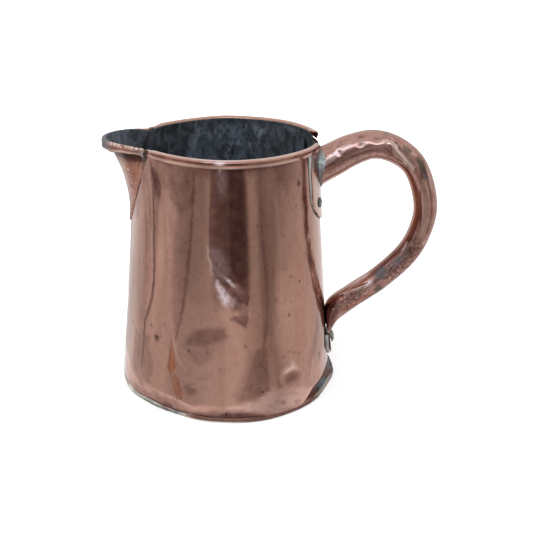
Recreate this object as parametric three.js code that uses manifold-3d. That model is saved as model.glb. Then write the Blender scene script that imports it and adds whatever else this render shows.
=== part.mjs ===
// Copper ale jug: a tapering sheet body with a wired rim, a beak spout lapped over its cut mouth,
// a hollow handle soldered to a shield plate at the top and riveted through its flattened tongue
// at the foot, and a base disc whose edge is turned up round the body.
// Millimetres, +Z up. The origin is the centre of the base where it meets the table, the handle
// points along +X and the spout along -X.
import * as THREE from 'three';
import { mergeVertices } from 'three/addons/utils/BufferGeometryUtils.js';
import Module from 'manifold-3d';

const manifold = await Module();
manifold.setup();

// Fits
const seatGap = 0.3;              // what lies on or round its neighbour stays this far off it
const rivetClearance = 0.3;       // between a rivet's shank and its holes

// Body wall: one sheet, bent round and lapped
const rimHeight = 176.6;          // top of the wired rim above the table
const coneFootRadius = 76.9;      // outside of the wall, run straight down to the table
const mouthRadius = 61.3;         // outside of the wall at the rim
const wallThickness = 0.8;
const wallSag = 0.5;              // how far the side falls inside a straight line at mid height
const footTuck = 1.4;             // how far the foot is drawn in
const footTuckHeight = 10;
const footOffset = -2.2;          // the foot stands off the base's centre
const mouthOffset = -0.2;         // and the mouth hardly does: the jug leans a little
const mouthPinch = 3.5;           // how far each side is drawn in beside the spout
const sideLapStart = 33;          // degrees from the handle, towards the back
const sideLapWidth = 17;          // of the soldered lap inside the wall

// Wired rim
const rimWireRadius = 1.3;
const rimWireClearance = 0.3;
const rimLipFlare = 0.3;          // of the rolled edge's end, outside the roll
const rimGapFront = 16;           // degrees: the rim stops this far short of the handle in front
const rimGapBack = 13.5;          // and behind
const rimGapDrop = 6.4;           // the wall's bare top edge between them lies this far down
const wireShortfall = 4;          // degrees of empty roll where the back wire has rusted away

// Base disc
const baseLedge = 2.0;            // from the foot of the wall out to the base's edge
const baseThickness = 1.0;
const baseEdgeHeight = 3.6;
const baseEdgeThickness = 0.9;
const baseSolderHeight = 2.0;
const baseSolderReach = 118;      // degrees either side of the handle
const baseRadius = coneFootRadius + baseLedge;

// Beak spout
const spoutThickness = 0.9;
const spoutTurn = 4.5;            // degrees, towards the front, from straight across the handle
const spoutReach = 18.6;          // of the keel beyond the wall at the lip
const spoutLipDrop = 3.6;         // from the rim down to where the lip starts to fold
const spoutLipRise = 2.9;         // of the lip between its roots
const spoutKeelRise = 48;         // height over which the keel swings out
const spoutKeelPower = 1.95;
const spoutFlangeDepth = 6;       // of the sheet below the keel's start
const spoutHalfAngle = 33;        // degrees either side, at the lip
const spoutSeamPower = 0.6;       // how quickly the seam narrows downwards
const spoutLap = 4;               // width of the flange on the wall
const spoutChannelShare = 0.35;   // least share of the seam's half-angle left open inside the laps
const spoutMouthRise = 4;         // from the keel's start up to the point of the cut mouth
const spoutMouthClearance = 0.6;  // degrees between the cut mouth and the open channel
const spoutFoldRadius = 1.0;
const spoutFoldDepth = 2.6;
const spoutRootGap = 1.5;         // degrees between the rim's rolled edge and the spout

// Shield plate under the handle
const plateThickness = 1.0;
const plateHalfWidth = 28.6;
const plateTopDrop = 6.8;         // from the rim
const plateStraightHeight = 27;   // of its parallel sides
const plateToeHeight = 22;        // of its rounded toe
const plateRivetOffset = 14;      // degrees either side of the handle
const plateRivetDrop = 41.6;      // from the rim

// Handle: the tube's centreline by its distance out from the wall, and down from the rim in its
// upper part or up from the table in its lower part
const handleThickness = 0.9;
const tongueThickness = 1.6;
const tonguePacking = 1.0;        // solder between tongue and wall
const tongueOut = 2 * seatGap + tonguePacking + tongueThickness / 2;
const handleStations = [
  { out: -8, drop: 26.6, depth: 25, width: 25, square: 2 },
  { out: 0.4, drop: 21, depth: 24.4, width: 24.6, square: 2 },
  { out: 10.5, drop: 15.8, depth: 23.6, width: 24, square: 2 },
  { out: 21.7, drop: 9.8, depth: 22.2, width: 22.6, square: 2 },
  { out: 37.9, drop: 5.3, depth: 20, width: 21, square: 2 },
  { out: 52.3, drop: 8.5, depth: 18.6, width: 19.4, square: 2 },
  { out: 66.3, drop: 20.2, depth: 17, width: 18.4, square: 2 },
  { out: 73.8, drop: 48.8, depth: 16.8, width: 18, square: 2 },
  { out: 69, rise: 106.9, depth: 16.5, width: 17.6, square: 2 },
  { out: 59.7, rise: 91.5, depth: 16.8, width: 17.4, square: 2 },
  { out: 40.1, rise: 72.7, depth: 17, width: 17.4, square: 2 },
  { out: 20.6, rise: 59, depth: 16.2, width: 17.8, square: 2.2 },
  { out: 9.2, rise: 48.5, depth: 11.6, width: 18.6, square: 2.6 },
  { out: 4.6, rise: 40, depth: 5.4, width: 19.4, square: 3.2 },
  { out: tongueOut, rise: 32, depth: tongueThickness, width: 19.6, square: 5 },
  { out: tongueOut, rise: 19, depth: tongueThickness, width: 18, square: 5 },
  { out: tongueOut, rise: 14, depth: tongueThickness, width: 8, square: 5 },
];
const handleHollowEnd = 12.6;     // station where the tube's two sides meet
const tongueRivetHeight = 25.3;
const tongueSolderTop = 30;       // heights of the packing's two ends
const tongueSolderFoot = 13;
const tongueSolderWidth = 16;
const tongueSolderToe = 5;        // height of its rounded lower end

// Solder collar round the handle's upper end
const collarSpread = 2.4;         // beyond the tube, where it meets the plate
const collarEdge = 0.9;           // and at its thin end
const collarEndStation = 1.85;    // along the handle's stations; the second stands at the wall

// Rivets and solder lines
const rivetShankRadius = 2.2;
const tongueRivetHeadRadius = 4.65;
const tongueRivetHeadHeight = 2.3;
const plateRivetHeadRadius = 3.6;
const plateRivetHeadHeight = 1.3;
const rivetTailRadius = 3.8;
const rivetTailHeight = 0.9;
const seamSolderRadius = 0.8;
const seamSolderShift = 1.25;     // the spout's solder stands off its edge by this share of its radius

// Facets
const roundFacets = 64;
const tubeFacets = 14;
const rivetFacets = 14;
const wallRows = 9;
const cutMargin = 5;              // how far a cutter reaches past what it cuts

const radians = THREE.MathUtils.degToRad;
const lerp = THREE.MathUtils.lerp;
const clamp = THREE.MathUtils.clamp;
const smoothstep = THREE.MathUtils.smoothstep;

// Outside radius of the wall at a height, about the jug's own leaning axis
function wallRadius(height) {
  const share = height / rimHeight;
  const tuck = Math.max(0, 1 - height / footTuckHeight) ** 2 * footTuck;
  return lerp(coneFootRadius, mouthRadius, share) - 4 * wallSag * share * (1 - share) - tuck;
}

// Leans a point off the base's centre with the body, and draws the mouth in beside the spout
function leaned(at) {
  const across = mouthRadius * Math.sin(radians(spoutHalfAngle));
  const toSpout = smoothstep(-at.x, 0, mouthRadius * Math.cos(radians(spoutHalfAngle)));
  const upwards = smoothstep(at.z, spoutKeelStart, rimHeight);
  at.x += lerp(footOffset, mouthOffset, at.z / rimHeight);
  at.y *= 1 - mouthPinch / across * toSpout * upwards;
  return at;
}

const rimRollRadius = rimWireRadius + rimWireClearance + wallThickness;
const rimWireHeight = rimHeight - rimRollRadius;
const rimWireOut = rimWireRadius + rimWireClearance;
const bodyFoot = baseThickness + seatGap;
const plateOut = seatGap + plateThickness;
const spoutLipHeight = rimHeight - spoutLipDrop;
const spoutKeelStart = spoutLipHeight - spoutKeelRise;
const spoutFootHeight = spoutKeelStart - spoutFlangeDepth;
const spoutAxis = 180 + spoutTurn;

// Solids and geometries

// Leaves only positions, with the vertices that share a place merged
function welded(geometry) {
  geometry.deleteAttribute('normal');
  geometry.deleteAttribute('uv');
  return mergeVertices(geometry, 1e-4);
}

function asSolid(geometry) {
  return new manifold.Manifold(new manifold.Mesh({
    numProp: 3,
    vertProperties: new Float32Array(geometry.attributes.position.array),
    triVerts: new Uint32Array(geometry.index.array),
  }));
}

function asGeometry(solid) {
  const mesh = solid.getMesh();
  const geometry = new THREE.BufferGeometry();
  geometry.setAttribute('position', new THREE.BufferAttribute(new Float32Array(mesh.vertProperties), 3));
  geometry.setIndex(new THREE.BufferAttribute(new Uint32Array(mesh.triVerts), 1));
  return geometry;
}

// Signed volume of a closed geometry, negative when its faces point inwards
function signedVolume(geometry) {
  const points = geometry.attributes.position;
  const index = geometry.index;
  const a = new THREE.Vector3();
  const b = new THREE.Vector3();
  const c = new THREE.Vector3();
  let volume = 0;
  for (let i = 0; i < index.count; i += 3) {
    a.fromBufferAttribute(points, index.getX(i));
    b.fromBufferAttribute(points, index.getX(i + 1));
    c.fromBufferAttribute(points, index.getX(i + 2));
    volume += a.dot(b.cross(c)) / 6;
  }
  return volume;
}

// Turns the faces of a welded geometry outwards
function facingOut(geometry) {
  if (signedVolume(geometry) < 0) {
    const index = geometry.index;
    for (let i = 0; i < index.count; i += 3) {
      const first = index.getX(i);
      index.setX(i, index.getX(i + 1));
      index.setX(i + 1, first);
    }
  }
  return geometry;
}

// Moves every vertex by a rule
function reshaped(geometry, rule) {
  const points = geometry.attributes.position;
  const at = new THREE.Vector3();
  for (let i = 0; i < points.count; i += 1) {
    at.fromBufferAttribute(points, i);
    const moved = rule(at);
    points.setXYZ(i, moved.x, moved.y, moved.z);
  }
  return geometry;
}

// Turns a profile of [radius, height] pairs round the Z axis
function turned(profile, facets = roundFacets) {
  const points = profile.map(([radius, height]) => new THREE.Vector2(Math.max(0, radius), height));
  const geometry = new THREE.LatheGeometry(points, facets);
  geometry.rotateX(Math.PI / 2);
  return facingOut(welded(geometry));
}

// A closed outline in Y and Z, run along X
function prismAlongX(outline, fromX, toX) {
  const shape = new THREE.Shape(outline.map(([across, height]) => new THREE.Vector2(across, height)));
  const geometry = welded(new THREE.ExtrudeGeometry(shape, { depth: toX - fromX, bevelEnabled: false }));
  return facingOut(reshaped(geometry, (at) => new THREE.Vector3(fromX + at.z, at.x, at.y)));
}

// A wedge from the axis outwards, between two azimuths in degrees
function wedge(fromAngle, toAngle, fromHeight, toHeight) {
  const far = 2.5 * coneFootRadius;
  const shape = new THREE.Shape();
  shape.moveTo(0, 0);
  shape.lineTo(far * Math.cos(radians(fromAngle)), far * Math.sin(radians(fromAngle)));
  shape.lineTo(far * Math.cos(radians(toAngle)), far * Math.sin(radians(toAngle)));
  const geometry = new THREE.ExtrudeGeometry(shape, { depth: toHeight - fromHeight, bevelEnabled: false });
  geometry.translate(0, 0, fromHeight);
  return facingOut(welded(geometry));
}

// A round rod along a curve
function rod(points, radius, steps, sides = 8) {
  const shape = new THREE.Shape();
  for (let i = 0; i < sides; i += 1) {
    const angle = (i / sides) * 2 * Math.PI;
    const place = [radius * Math.cos(angle), radius * Math.sin(angle)];
    if (i === 0) shape.moveTo(...place);
    else shape.lineTo(...place);
  }
  const path = new THREE.CatmullRomCurve3(points);
  const geometry = new THREE.ExtrudeGeometry(shape, { extrudePath: path, steps, bevelEnabled: false });
  return facingOut(welded(geometry));
}

// Heights from one level to another in even steps
function levels(from, to, count) {
  return Array.from({ length: count }, (unused, i) => lerp(from, to, i / (count - 1)));
}

// The wall's outside moved out by an offset, filled to the axis: what cuts whatever meets the wall
function wallEnvelope(offset, fromHeight, toHeight) {
  const side = levels(fromHeight, toHeight, wallRows + 4).map((height) => [wallRadius(height) + offset, height]);
  return turned([[0, fromHeight], ...side, [0, toHeight]]);
}

// A shell that follows the wall between two offsets
function wallShell(innerOffset, outerOffset, fromHeight, toHeight) {
  const heights = levels(fromHeight, toHeight, wallRows);
  const outside = heights.map((height) => [wallRadius(height) + outerOffset, height]);
  const inside = heights.reverse().map((height) => [wallRadius(height) + innerOffset, height]);
  return turned([...outside, ...inside, outside[0]]);
}

// A point at an azimuth and height, an offset outside the wall
function onWall(angle, height, offset) {
  const radius = wallRadius(height) + offset;
  return new THREE.Vector3(radius * Math.cos(angle), radius * Math.sin(angle), height);
}

// Direction square to the wall at an azimuth and height
function wallNormal(angle, height) {
  const slope = (wallRadius(height - 1) - wallRadius(height + 1)) / 2;
  return new THREE.Vector3(Math.cos(angle), Math.sin(angle), slope).normalize();
}

// Stands a geometry made along +Z on the wall, square to it
function squareToWall(geometry, angle, height) {
  const turn = new THREE.Quaternion().setFromUnitVectors(new THREE.Vector3(0, 0, 1), wallNormal(angle, height));
  geometry.applyQuaternion(turn);
  const place = onWall(angle, height, 0);
  geometry.translate(place.x, place.y, place.z);
  return geometry;
}

function rivetHole(angle, height) {
  const radius = rivetShankRadius + rivetClearance;
  const geometry = new THREE.CylinderGeometry(radius, radius, 4 * cutMargin, rivetFacets);
  geometry.rotateX(Math.PI / 2);
  return facingOut(welded(squareToWall(geometry, angle, height)));
}

// Rivet: domed head outside, shank, and a tail hammered flat inside the wall
function rivet(angle, height, grip, headRadius, headHeight) {
  const tailTop = -wallThickness - seatGap;
  const headFoot = grip + seatGap;
  const profile = [[0, tailTop - rivetTailHeight], [rivetTailRadius * 0.8, tailTop - rivetTailHeight]];
  profile.push([rivetTailRadius, tailTop - rivetTailHeight / 2], [rivetTailRadius, tailTop]);
  profile.push([rivetShankRadius, tailTop], [rivetShankRadius, headFoot], [headRadius, headFoot]);
  for (const lift of [22, 52]) {
    const angleUp = radians(lift);
    profile.push([headRadius * Math.cos(angleUp), headFoot + headHeight * Math.sin(angleUp)]);
  }
  profile.push([0, headFoot + headHeight]);
  return squareToWall(turned(profile, rivetFacets), angle, height);
}

// Spout shape

const spoutFoldStart = 0.68;      // share of the sheet's run where its fold begins

// Half-angle of the spout's seam on the wall, in radians
function seamAngle(height) {
  const seamFoot = spoutFootHeight - 1.5;
  const share = clamp((height - seamFoot) / (spoutLipHeight - seamFoot), 0, 1);
  return radians(spoutHalfAngle) * share ** spoutSeamPower;
}

// Half-angle of the open part inside the lap
function channelAngle(height) {
  const seam = seamAngle(height);
  return Math.max(seam - spoutLap / wallRadius(height), spoutChannelShare * seam);
}

// How far the spout's sheet stands out beyond its lap, at an azimuth off the keel and a height
function spoutBulge(angle, height) {
  const share = clamp((height - spoutKeelStart) / spoutKeelRise, 0, 1);
  const across = clamp(Math.abs(angle) / channelAngle(height), 0, 1);
  return spoutReach * share ** spoutKeelPower * Math.cos(across * Math.PI / 2);
}

// Middle of the spout's sheet as [radius, height]: up the beak, over the fold and down outside it
function spoutPath(angle, travel) {
  const middle = (height) => wallRadius(height) + seatGap + spoutThickness / 2 + spoutBulge(angle, height);
  if (travel <= spoutFoldStart) {
    const height = lerp(spoutFootHeight, spoutLipHeight, travel / spoutFoldStart);
    return [middle(height), height];
  }
  const step = 0.5;
  const heading = Math.atan2(step, middle(spoutLipHeight) - middle(spoutLipHeight - step));
  const sweep = heading + Math.PI / 2;
  const arcLength = sweep * spoutFoldRadius;
  const run = (travel - spoutFoldStart) / (1 - spoutFoldStart) * (arcLength + spoutFoldDepth);
  const turnedBy = Math.min(run, arcLength) / spoutFoldRadius;
  const centre = [
    middle(spoutLipHeight) + spoutFoldRadius * Math.sin(heading),
    spoutLipHeight - spoutFoldRadius * Math.cos(heading),
  ];
  const pointer = heading + Math.PI / 2 - turnedBy;
  return [
    centre[0] + spoutFoldRadius * Math.cos(pointer),
    centre[1] + spoutFoldRadius * Math.sin(pointer) - Math.max(0, run - arcLength),
  ];
}

// A point of the spout's sheet: across -1 to 1, face -1 inside or 1 outside, travel 0 to 1
function spoutPoint(across, face, travel) {
  const level = lerp(spoutFootHeight, spoutLipHeight, Math.min(1, travel / spoutFoldStart));
  const angle = across * seamAngle(level);
  const small = 0.004;
  const here = spoutPath(angle, travel);
  const before = spoutPath(angle, Math.max(0, travel - small));
  const after = spoutPath(angle, Math.min(1, travel + small));
  const along = new THREE.Vector2(after[0] - before[0], after[1] - before[1]).normalize();
  const half = face * spoutThickness / 2;
  const radius = here[0] + half * along.y;
  const height = here[1] - half * along.x;
  const lift = spoutLipRise * (1 - across ** 4) * smoothstep(height, spoutKeelStart, spoutLipHeight);
  const azimuth = radians(spoutAxis) - angle;
  return new THREE.Vector3(radius * Math.cos(azimuth), radius * Math.sin(azimuth), height + lift);
}

// Handle shape

function stationPoint(station) {
  const height = station.rise ?? rimHeight - station.drop;
  return new THREE.Vector3(wallRadius(height) + station.out, 0, height);
}

const handleLine = new THREE.CatmullRomCurve3(handleStations.map(stationPoint));
const handleSection = new THREE.CatmullRomCurve3(
  handleStations.map((station) => new THREE.Vector3(station.depth, station.width, station.square)));

// A tube along the handle's centreline, grown outwards or inwards, between two stations
function handleTube(growth, fromStation, toStation, rings, spread = () => 0) {
  const last = handleStations.length - 1;
  const geometry = welded(new THREE.CylinderGeometry(1, 1, 1, tubeFacets, rings));
  return facingOut(reshaped(geometry, (at) => {
    const station = lerp(fromStation, toStation, at.y + 0.5);
    const centre = handleLine.getPoint(station / last);
    const along = handleLine.getTangent(station / last);
    const section = handleSection.getPoint(station / last);
    const extra = 2 * growth + 2 * spread(station);
    const power = 2 / Math.max(2, section.z);
    const angle = Math.atan2(at.z, at.x);
    const size = Math.hypot(at.x, at.z);
    const inPlane = Math.sign(Math.cos(angle)) * Math.abs(Math.cos(angle)) ** power;
    const sideways = Math.sign(Math.sin(angle)) * Math.abs(Math.sin(angle)) ** power;
    const outwards = new THREE.Vector3(along.z, 0, -along.x);
    return centre.clone()
      .addScaledVector(outwards, size * inPlane * (section.x + extra) / 2)
      .add(new THREE.Vector3(0, size * sideways * (section.y + extra) / 2, 0));
  }));
}

// Pieces

const handleAngle = 0;
const plateRivetHeight = rimHeight - plateRivetDrop;
const plateRivetAngles = { front: -radians(plateRivetOffset), back: radians(plateRivetOffset) };
const tongueGrip = seatGap + tonguePacking + seatGap + tongueThickness;

function makeBody() {
  const roll = (radius, degrees) => [
    mouthRadius + rimWireOut + radius * Math.cos(radians(degrees)),
    rimWireHeight + radius * Math.sin(radians(degrees)),
  ];
  const wall = levels(bodyFoot, rimWireHeight, wallRows);
  const outside = wall.slice(0, -1).map((height) => [wallRadius(height), height]);
  const wrapInside = [180, 130, 80, 30, -20, -60, -95].map((degrees) => roll(rimWireOut, degrees));
  const flared = rimRollRadius + rimLipFlare;
  const lip = [roll(flared, -108), roll(flared, -84), roll(rimRollRadius, -66)];
  const wrapOutside = [-40, -5, 30, 65, 100, 140, 180].map((degrees) => roll(rimRollRadius, degrees));
  const inside = wall.slice(0, -1).reverse().map((height) => [wallRadius(height) - wallThickness, height]);
  const profile = [...outside, ...wrapInside, ...lip, ...wrapOutside, ...inside];
  let solid = asSolid(turned([...profile, profile[0]]));

  const lapShell = asSolid(wallShell(-2 * wallThickness, -wallThickness / 2, bodyFoot, rimWireHeight - 2));
  const lapSpan = THREE.MathUtils.radToDeg(sideLapWidth / mouthRadius);
  solid = solid.add(lapShell.intersect(asSolid(wedge(sideLapStart, sideLapStart + lapSpan, 0, rimHeight))));

  const mouthLevels = levels(spoutKeelStart + spoutMouthRise, rimHeight + cutMargin, 10);
  const mouthEdge = mouthLevels.map((height) => {
    const angle = channelAngle(Math.min(height, spoutLipHeight)) - radians(spoutMouthClearance);
    return [wallRadius(height) * Math.sin(angle), height];
  });
  const mirrored = mouthEdge.map(([across, height]) => [-across, height]).reverse();
  const mouth = prismAlongX([...mouthEdge, ...mirrored], mouthRadius / 2, 2 * coneFootRadius);
  mouth.rotateZ(radians(spoutAxis));
  solid = solid.subtract(asSolid(mouth));

  const rollCut = asSolid(wedge(
    spoutAxis - spoutHalfAngle - spoutRootGap, spoutAxis + spoutHalfAngle + spoutRootGap,
    rimWireHeight - 2 * cutMargin, rimHeight + cutMargin));
  const bareWall = wallEnvelope(0, rimWireHeight - 3 * cutMargin, rimHeight + 2 * cutMargin);
  solid = solid.subtract(rollCut.subtract(asSolid(bareWall)));

  solid = solid.subtract(asSolid(wedge(-rimGapFront, rimGapBack, rimHeight - rimGapDrop, rimHeight + cutMargin)));
  solid = solid.subtract(asSolid(rivetHole(plateRivetAngles.front, plateRivetHeight)));
  solid = solid.subtract(asSolid(rivetHole(plateRivetAngles.back, plateRivetHeight)));
  solid = solid.subtract(asSolid(rivetHole(handleAngle, tongueRivetHeight)));
  return asGeometry(solid);
}

function makeRimWire(fromAngle, toAngle) {
  const count = 24;
  const points = [];
  for (let i = 0; i <= count; i += 1) {
    const angle = radians(lerp(fromAngle, toAngle, i / count));
    const radius = mouthRadius + rimWireOut;
    points.push(new THREE.Vector3(radius * Math.cos(angle), radius * Math.sin(angle), rimWireHeight));
  }
  const steps = Math.ceil(Math.abs(toAngle - fromAngle) / 360 * roundFacets);
  return rod(points, rimWireRadius, steps);
}

function makeBase() {
  const edgeTop = baseEdgeHeight;
  const inner = baseRadius - baseEdgeThickness;
  const corner = 0.6;
  return turned([
    [0, 0], [baseRadius - corner, 0], [baseRadius, corner], [baseRadius, edgeTop - corner / 2],
    [baseRadius - corner / 2, edgeTop], [inner, edgeTop], [inner, baseThickness], [0, baseThickness],
  ]);
}

function makeBaseSolder() {
  const foot = baseThickness + seatGap;
  const top = foot + baseSolderHeight;
  const radius = baseRadius - baseEdgeThickness - seatGap;
  const ring = asSolid(turned([[0, foot], [radius, foot], [radius, top], [0, top]]));
  const foothold = reshaped(wallEnvelope(seatGap, 0, 2 * top), leaned);
  const reach = radius * Math.cos(radians(baseSolderReach));
  const side = 2 * baseRadius;
  const keep = prismAlongX([[-side, 0], [side, 0], [side, 2 * top], [-side, 2 * top]], reach, side);
  return asGeometry(ring.subtract(asSolid(foothold)).intersect(asSolid(keep)));
}

function makeSpout() {
  const geometry = welded(new THREE.BoxGeometry(2, 2, 1, 18, 1, 22));
  return facingOut(reshaped(geometry, (at) => spoutPoint(at.x, at.y, at.z + 0.5)));
}

// The plate's outline in Y and Z, grown by a margin; open at the top
function plateEdge(margin) {
  const top = rimHeight - plateTopDrop;
  const shoulder = top - plateStraightHeight;
  const across = plateHalfWidth + margin;
  const toe = plateToeHeight + margin;
  const points = [[-across, top]];
  for (const degrees of levels(180, 360, 17)) {
    points.push([across * Math.cos(radians(degrees)), shoulder + toe * Math.sin(radians(degrees))]);
  }
  points.push([across, top]);
  return points;
}

function makePlate() {
  const low = rimHeight - plateTopDrop - plateStraightHeight - plateToeHeight - cutMargin;
  const shell = asSolid(wallShell(seatGap, plateOut, low, rimHeight - plateTopDrop));
  let solid = shell.intersect(asSolid(prismAlongX(plateEdge(0), 0, 2 * coneFootRadius)));
  solid = solid.subtract(asSolid(rivetHole(plateRivetAngles.front, plateRivetHeight)));
  solid = solid.subtract(asSolid(rivetHole(plateRivetAngles.back, plateRivetHeight)));
  return asGeometry(solid);
}

// What the handle and its collar are cut off by: the plate's outer face and a clearance
function plateFace() {
  return wallEnvelope(plateOut + seatGap, rimHeight / 2 + plateToeHeight, rimHeight + 4 * cutMargin);
}

function makePlateSolder() {
  const offset = seatGap + seamSolderRadius;
  const points = plateEdge(seatGap + seamSolderRadius).map(([across, height]) => {
    const level = Math.min(height, rimHeight - plateTopDrop - 1);
    const radius = wallRadius(level) + offset;
    return new THREE.Vector3(Math.sqrt(radius * radius - across * across), across, level);
  });
  return rod(points, seamSolderRadius, 48, 6);
}

function makeSpoutSolder(side) {
  const offset = seatGap + seamSolderRadius;
  const points = levels(spoutFootHeight + 1, spoutLipHeight - 4, 12).map((height) => {
    const clear = (seatGap + seamSolderRadius) * seamSolderShift / wallRadius(height);
    return onWall(radians(spoutAxis) + side * (seamAngle(height) + clear), height, offset);
  });
  return rod(points, seamSolderRadius, 26, 6);
}

function makeHandle() {
  const last = handleStations.length - 1;
  let solid = asSolid(handleTube(0, 0, last, 48));
  solid = solid.subtract(asSolid(handleTube(-handleThickness, 0, handleHollowEnd, 34)));
  solid = solid.subtract(asSolid(plateFace()));
  solid = solid.subtract(asSolid(rivetHole(handleAngle, tongueRivetHeight)));
  return asGeometry(solid);
}

function makeCollar() {
  const spread = (station) => {
    const share = clamp((station - 1) / (collarEndStation - 1), 0, 1);
    return lerp(collarSpread, collarEdge, Math.sqrt(share));
  };
  let solid = asSolid(handleTube(0, 0.4, collarEndStation, 8, spread));
  solid = solid.subtract(asSolid(handleTube(seatGap, 0, 3, 12)));
  return asGeometry(solid.subtract(asSolid(plateFace())));
}

function makeTongueSolder() {
  const half = tongueSolderWidth / 2;
  const outline = [[half, tongueSolderTop], [-half, tongueSolderTop]];
  for (const degrees of levels(180, 360, 9)) {
    const height = tongueSolderFoot + tongueSolderToe * (1 + Math.sin(radians(degrees)));
    outline.push([half * Math.cos(radians(degrees)), height]);
  }
  const block = prismAlongX(outline, -1, seatGap + tonguePacking);
  reshaped(block, (at) => at.setX(at.x + wallRadius(at.z)));
  const foothold = wallEnvelope(seatGap, tongueSolderFoot - cutMargin, tongueSolderTop + cutMargin);
  let solid = asSolid(block).subtract(asSolid(foothold));
  solid = solid.subtract(asSolid(rivetHole(handleAngle, tongueRivetHeight)));
  return asGeometry(solid);
}

// Materials

const copper = new THREE.MeshStandardMaterial({ color: 0xa8705c, roughness: 0.28, metalness: 1 });
const wornCopper = new THREE.MeshStandardMaterial({ color: 0x9a6450, roughness: 0.34, metalness: 1 });
const rivetCopper = new THREE.MeshStandardMaterial({ color: 0x7c8578, roughness: 0.5, metalness: 0.8 });
const tinSolder = new THREE.MeshStandardMaterial({ color: 0x8e9496, roughness: 0.55, metalness: 0.8 });
const iron = new THREE.MeshStandardMaterial({ color: 0x4a4644, roughness: 0.7, metalness: 0.9 });

// The jug

const jug = new THREE.Group();
jug.name = 'ale_jug';

// Everything but the base stands about the body's own axis, which leans off the base's centre
function place(name, geometry, material, leans = true) {
  if (leans) reshaped(geometry, leaned);
  geometry.computeVertexNormals();
  const mesh = new THREE.Mesh(geometry, material);
  mesh.name = name;
  jug.add(mesh);
}

const spoutFrontRoot = spoutAxis + spoutHalfAngle + spoutRootGap;
const spoutBackRoot = spoutAxis - spoutHalfAngle - spoutRootGap;

place('body', makeBody(), copper);
place('base_plate', makeBase(), copper, false);
place('spout', makeSpout(), wornCopper);
place('handle_tube', makeHandle(), copper);
place('handle_plate', makePlate(), copper);
place('rim_wire_front', makeRimWire(spoutFrontRoot + 0.5, 360 - rimGapFront - 0.5), iron);
place('rim_wire_back', makeRimWire(rimGapBack + wireShortfall, spoutBackRoot - 0.5), iron);
for (const [side, angle] of Object.entries(plateRivetAngles)) {
  place(`plate_rivet_${side}`,
    rivet(angle, plateRivetHeight, plateOut, plateRivetHeadRadius, plateRivetHeadHeight), rivetCopper);
}
place('tongue_rivet',
  rivet(handleAngle, tongueRivetHeight, tongueGrip, tongueRivetHeadRadius, tongueRivetHeadHeight), rivetCopper);
place('upper_joint_solder', makeCollar(), tinSolder);
place('plate_edge_solder', makePlateSolder(), tinSolder);
place('tongue_solder', makeTongueSolder(), tinSolder);
place('base_seam_solder', makeBaseSolder(), tinSolder, false);
place('spout_solder_front', makeSpoutSolder(1), tinSolder);
place('spout_solder_back', makeSpoutSolder(-1), tinSolder);

export default jug;
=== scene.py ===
import math

import bpy
import numpy as np
from mathutils import Matrix


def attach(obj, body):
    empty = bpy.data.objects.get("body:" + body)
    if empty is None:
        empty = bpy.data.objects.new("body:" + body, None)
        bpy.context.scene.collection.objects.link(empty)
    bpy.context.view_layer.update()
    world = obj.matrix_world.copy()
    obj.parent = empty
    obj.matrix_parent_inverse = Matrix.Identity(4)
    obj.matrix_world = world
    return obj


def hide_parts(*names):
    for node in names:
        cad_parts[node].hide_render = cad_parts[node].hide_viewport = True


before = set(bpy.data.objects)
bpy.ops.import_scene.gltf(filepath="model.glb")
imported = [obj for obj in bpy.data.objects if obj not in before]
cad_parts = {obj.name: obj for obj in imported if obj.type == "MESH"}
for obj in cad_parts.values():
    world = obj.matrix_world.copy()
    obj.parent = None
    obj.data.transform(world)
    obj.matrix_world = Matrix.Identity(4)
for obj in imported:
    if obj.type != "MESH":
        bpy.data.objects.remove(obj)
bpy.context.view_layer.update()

# Sizes in millimetres, the same as the solids'

MM = 0.001
UNROLL_RADIUS = 70.0
RIM_HEIGHT = 176.6
FOOT_RADIUS = 76.9
MOUTH_RADIUS = 61.3
WALL = 0.8
WALL_SAG = 0.5
FOOT_TUCK = 1.4
FOOT_TUCK_HEIGHT = 10.0
FOOT_OFFSET = -2.2
MOUTH_OFFSET = -0.2
MOUTH_PINCH = 3.5

WIRE_OUT = 1.6
ROLL_HEIGHT = RIM_HEIGHT - WIRE_OUT - WALL
ROLL_RADIUS = MOUTH_RADIUS + WIRE_OUT
LAP_START = 33.0
LAP_END = 49.0
LAP_RISE = 0.7
RIM_GAP_FRONT = -16.25
RIM_GAP_BACK = 13.75
RIM_GAP_DROP = 6.4
SPOUT_BACK_ROOT = 150.0
SPOUT_FRONT_ROOT = 218.75

BASE_RADIUS = 78.9
BASE_THICKNESS = 1.0
BASE_EDGE = 3.6
BASE_EDGE_SHEET = 0.9
FILLING_RADIUS = 77.98
FILLING_FOOT = 1.15

SPOUT_AXIS = 184.5
SPOUT_REACH = 18.6
SPOUT_LIP = RIM_HEIGHT - 3.6
SPOUT_LIP_RISE = 2.9
SPOUT_KEEL_RISE = 48.0
SPOUT_KEEL_START = SPOUT_LIP - SPOUT_KEEL_RISE
SPOUT_KEEL_POWER = 1.95
SPOUT_FOOT = SPOUT_KEEL_START - 6.0
SPOUT_HALF_ANGLE = 33.0
SPOUT_SEAM_POWER = 0.6
SPOUT_LAP = 4.0
SPOUT_SHEET = 0.9
SPOUT_FOLD_START = 0.68
SPOUT_FOLD_RADIUS = 1.0
SPOUT_FOLD_DEPTH = 2.6
SEAT = 0.3

PLATE_TOP = RIM_HEIGHT - 5.2
PLATE_HALF_WIDTH = 28.6
PLATE_SHOULDER = RIM_HEIGHT - 33.8
PLATE_TOE = 22.0
PLATE_OUT = 1.3

PLATE_SHEET = 1.0
PLATE_KEPT = 32.0
HANDLE_SHEET = 0.9

COLUMNS = 288
BODY_COLUMNS = 360
RIVET_COLUMNS = 40
BEAD_SIDES = 14
WELD = 0.02
# Azimuth at which a highlight is painted on the rolled rim
HIGHLIGHT = -90.3


# Shapes worked out on arrays of points

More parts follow.
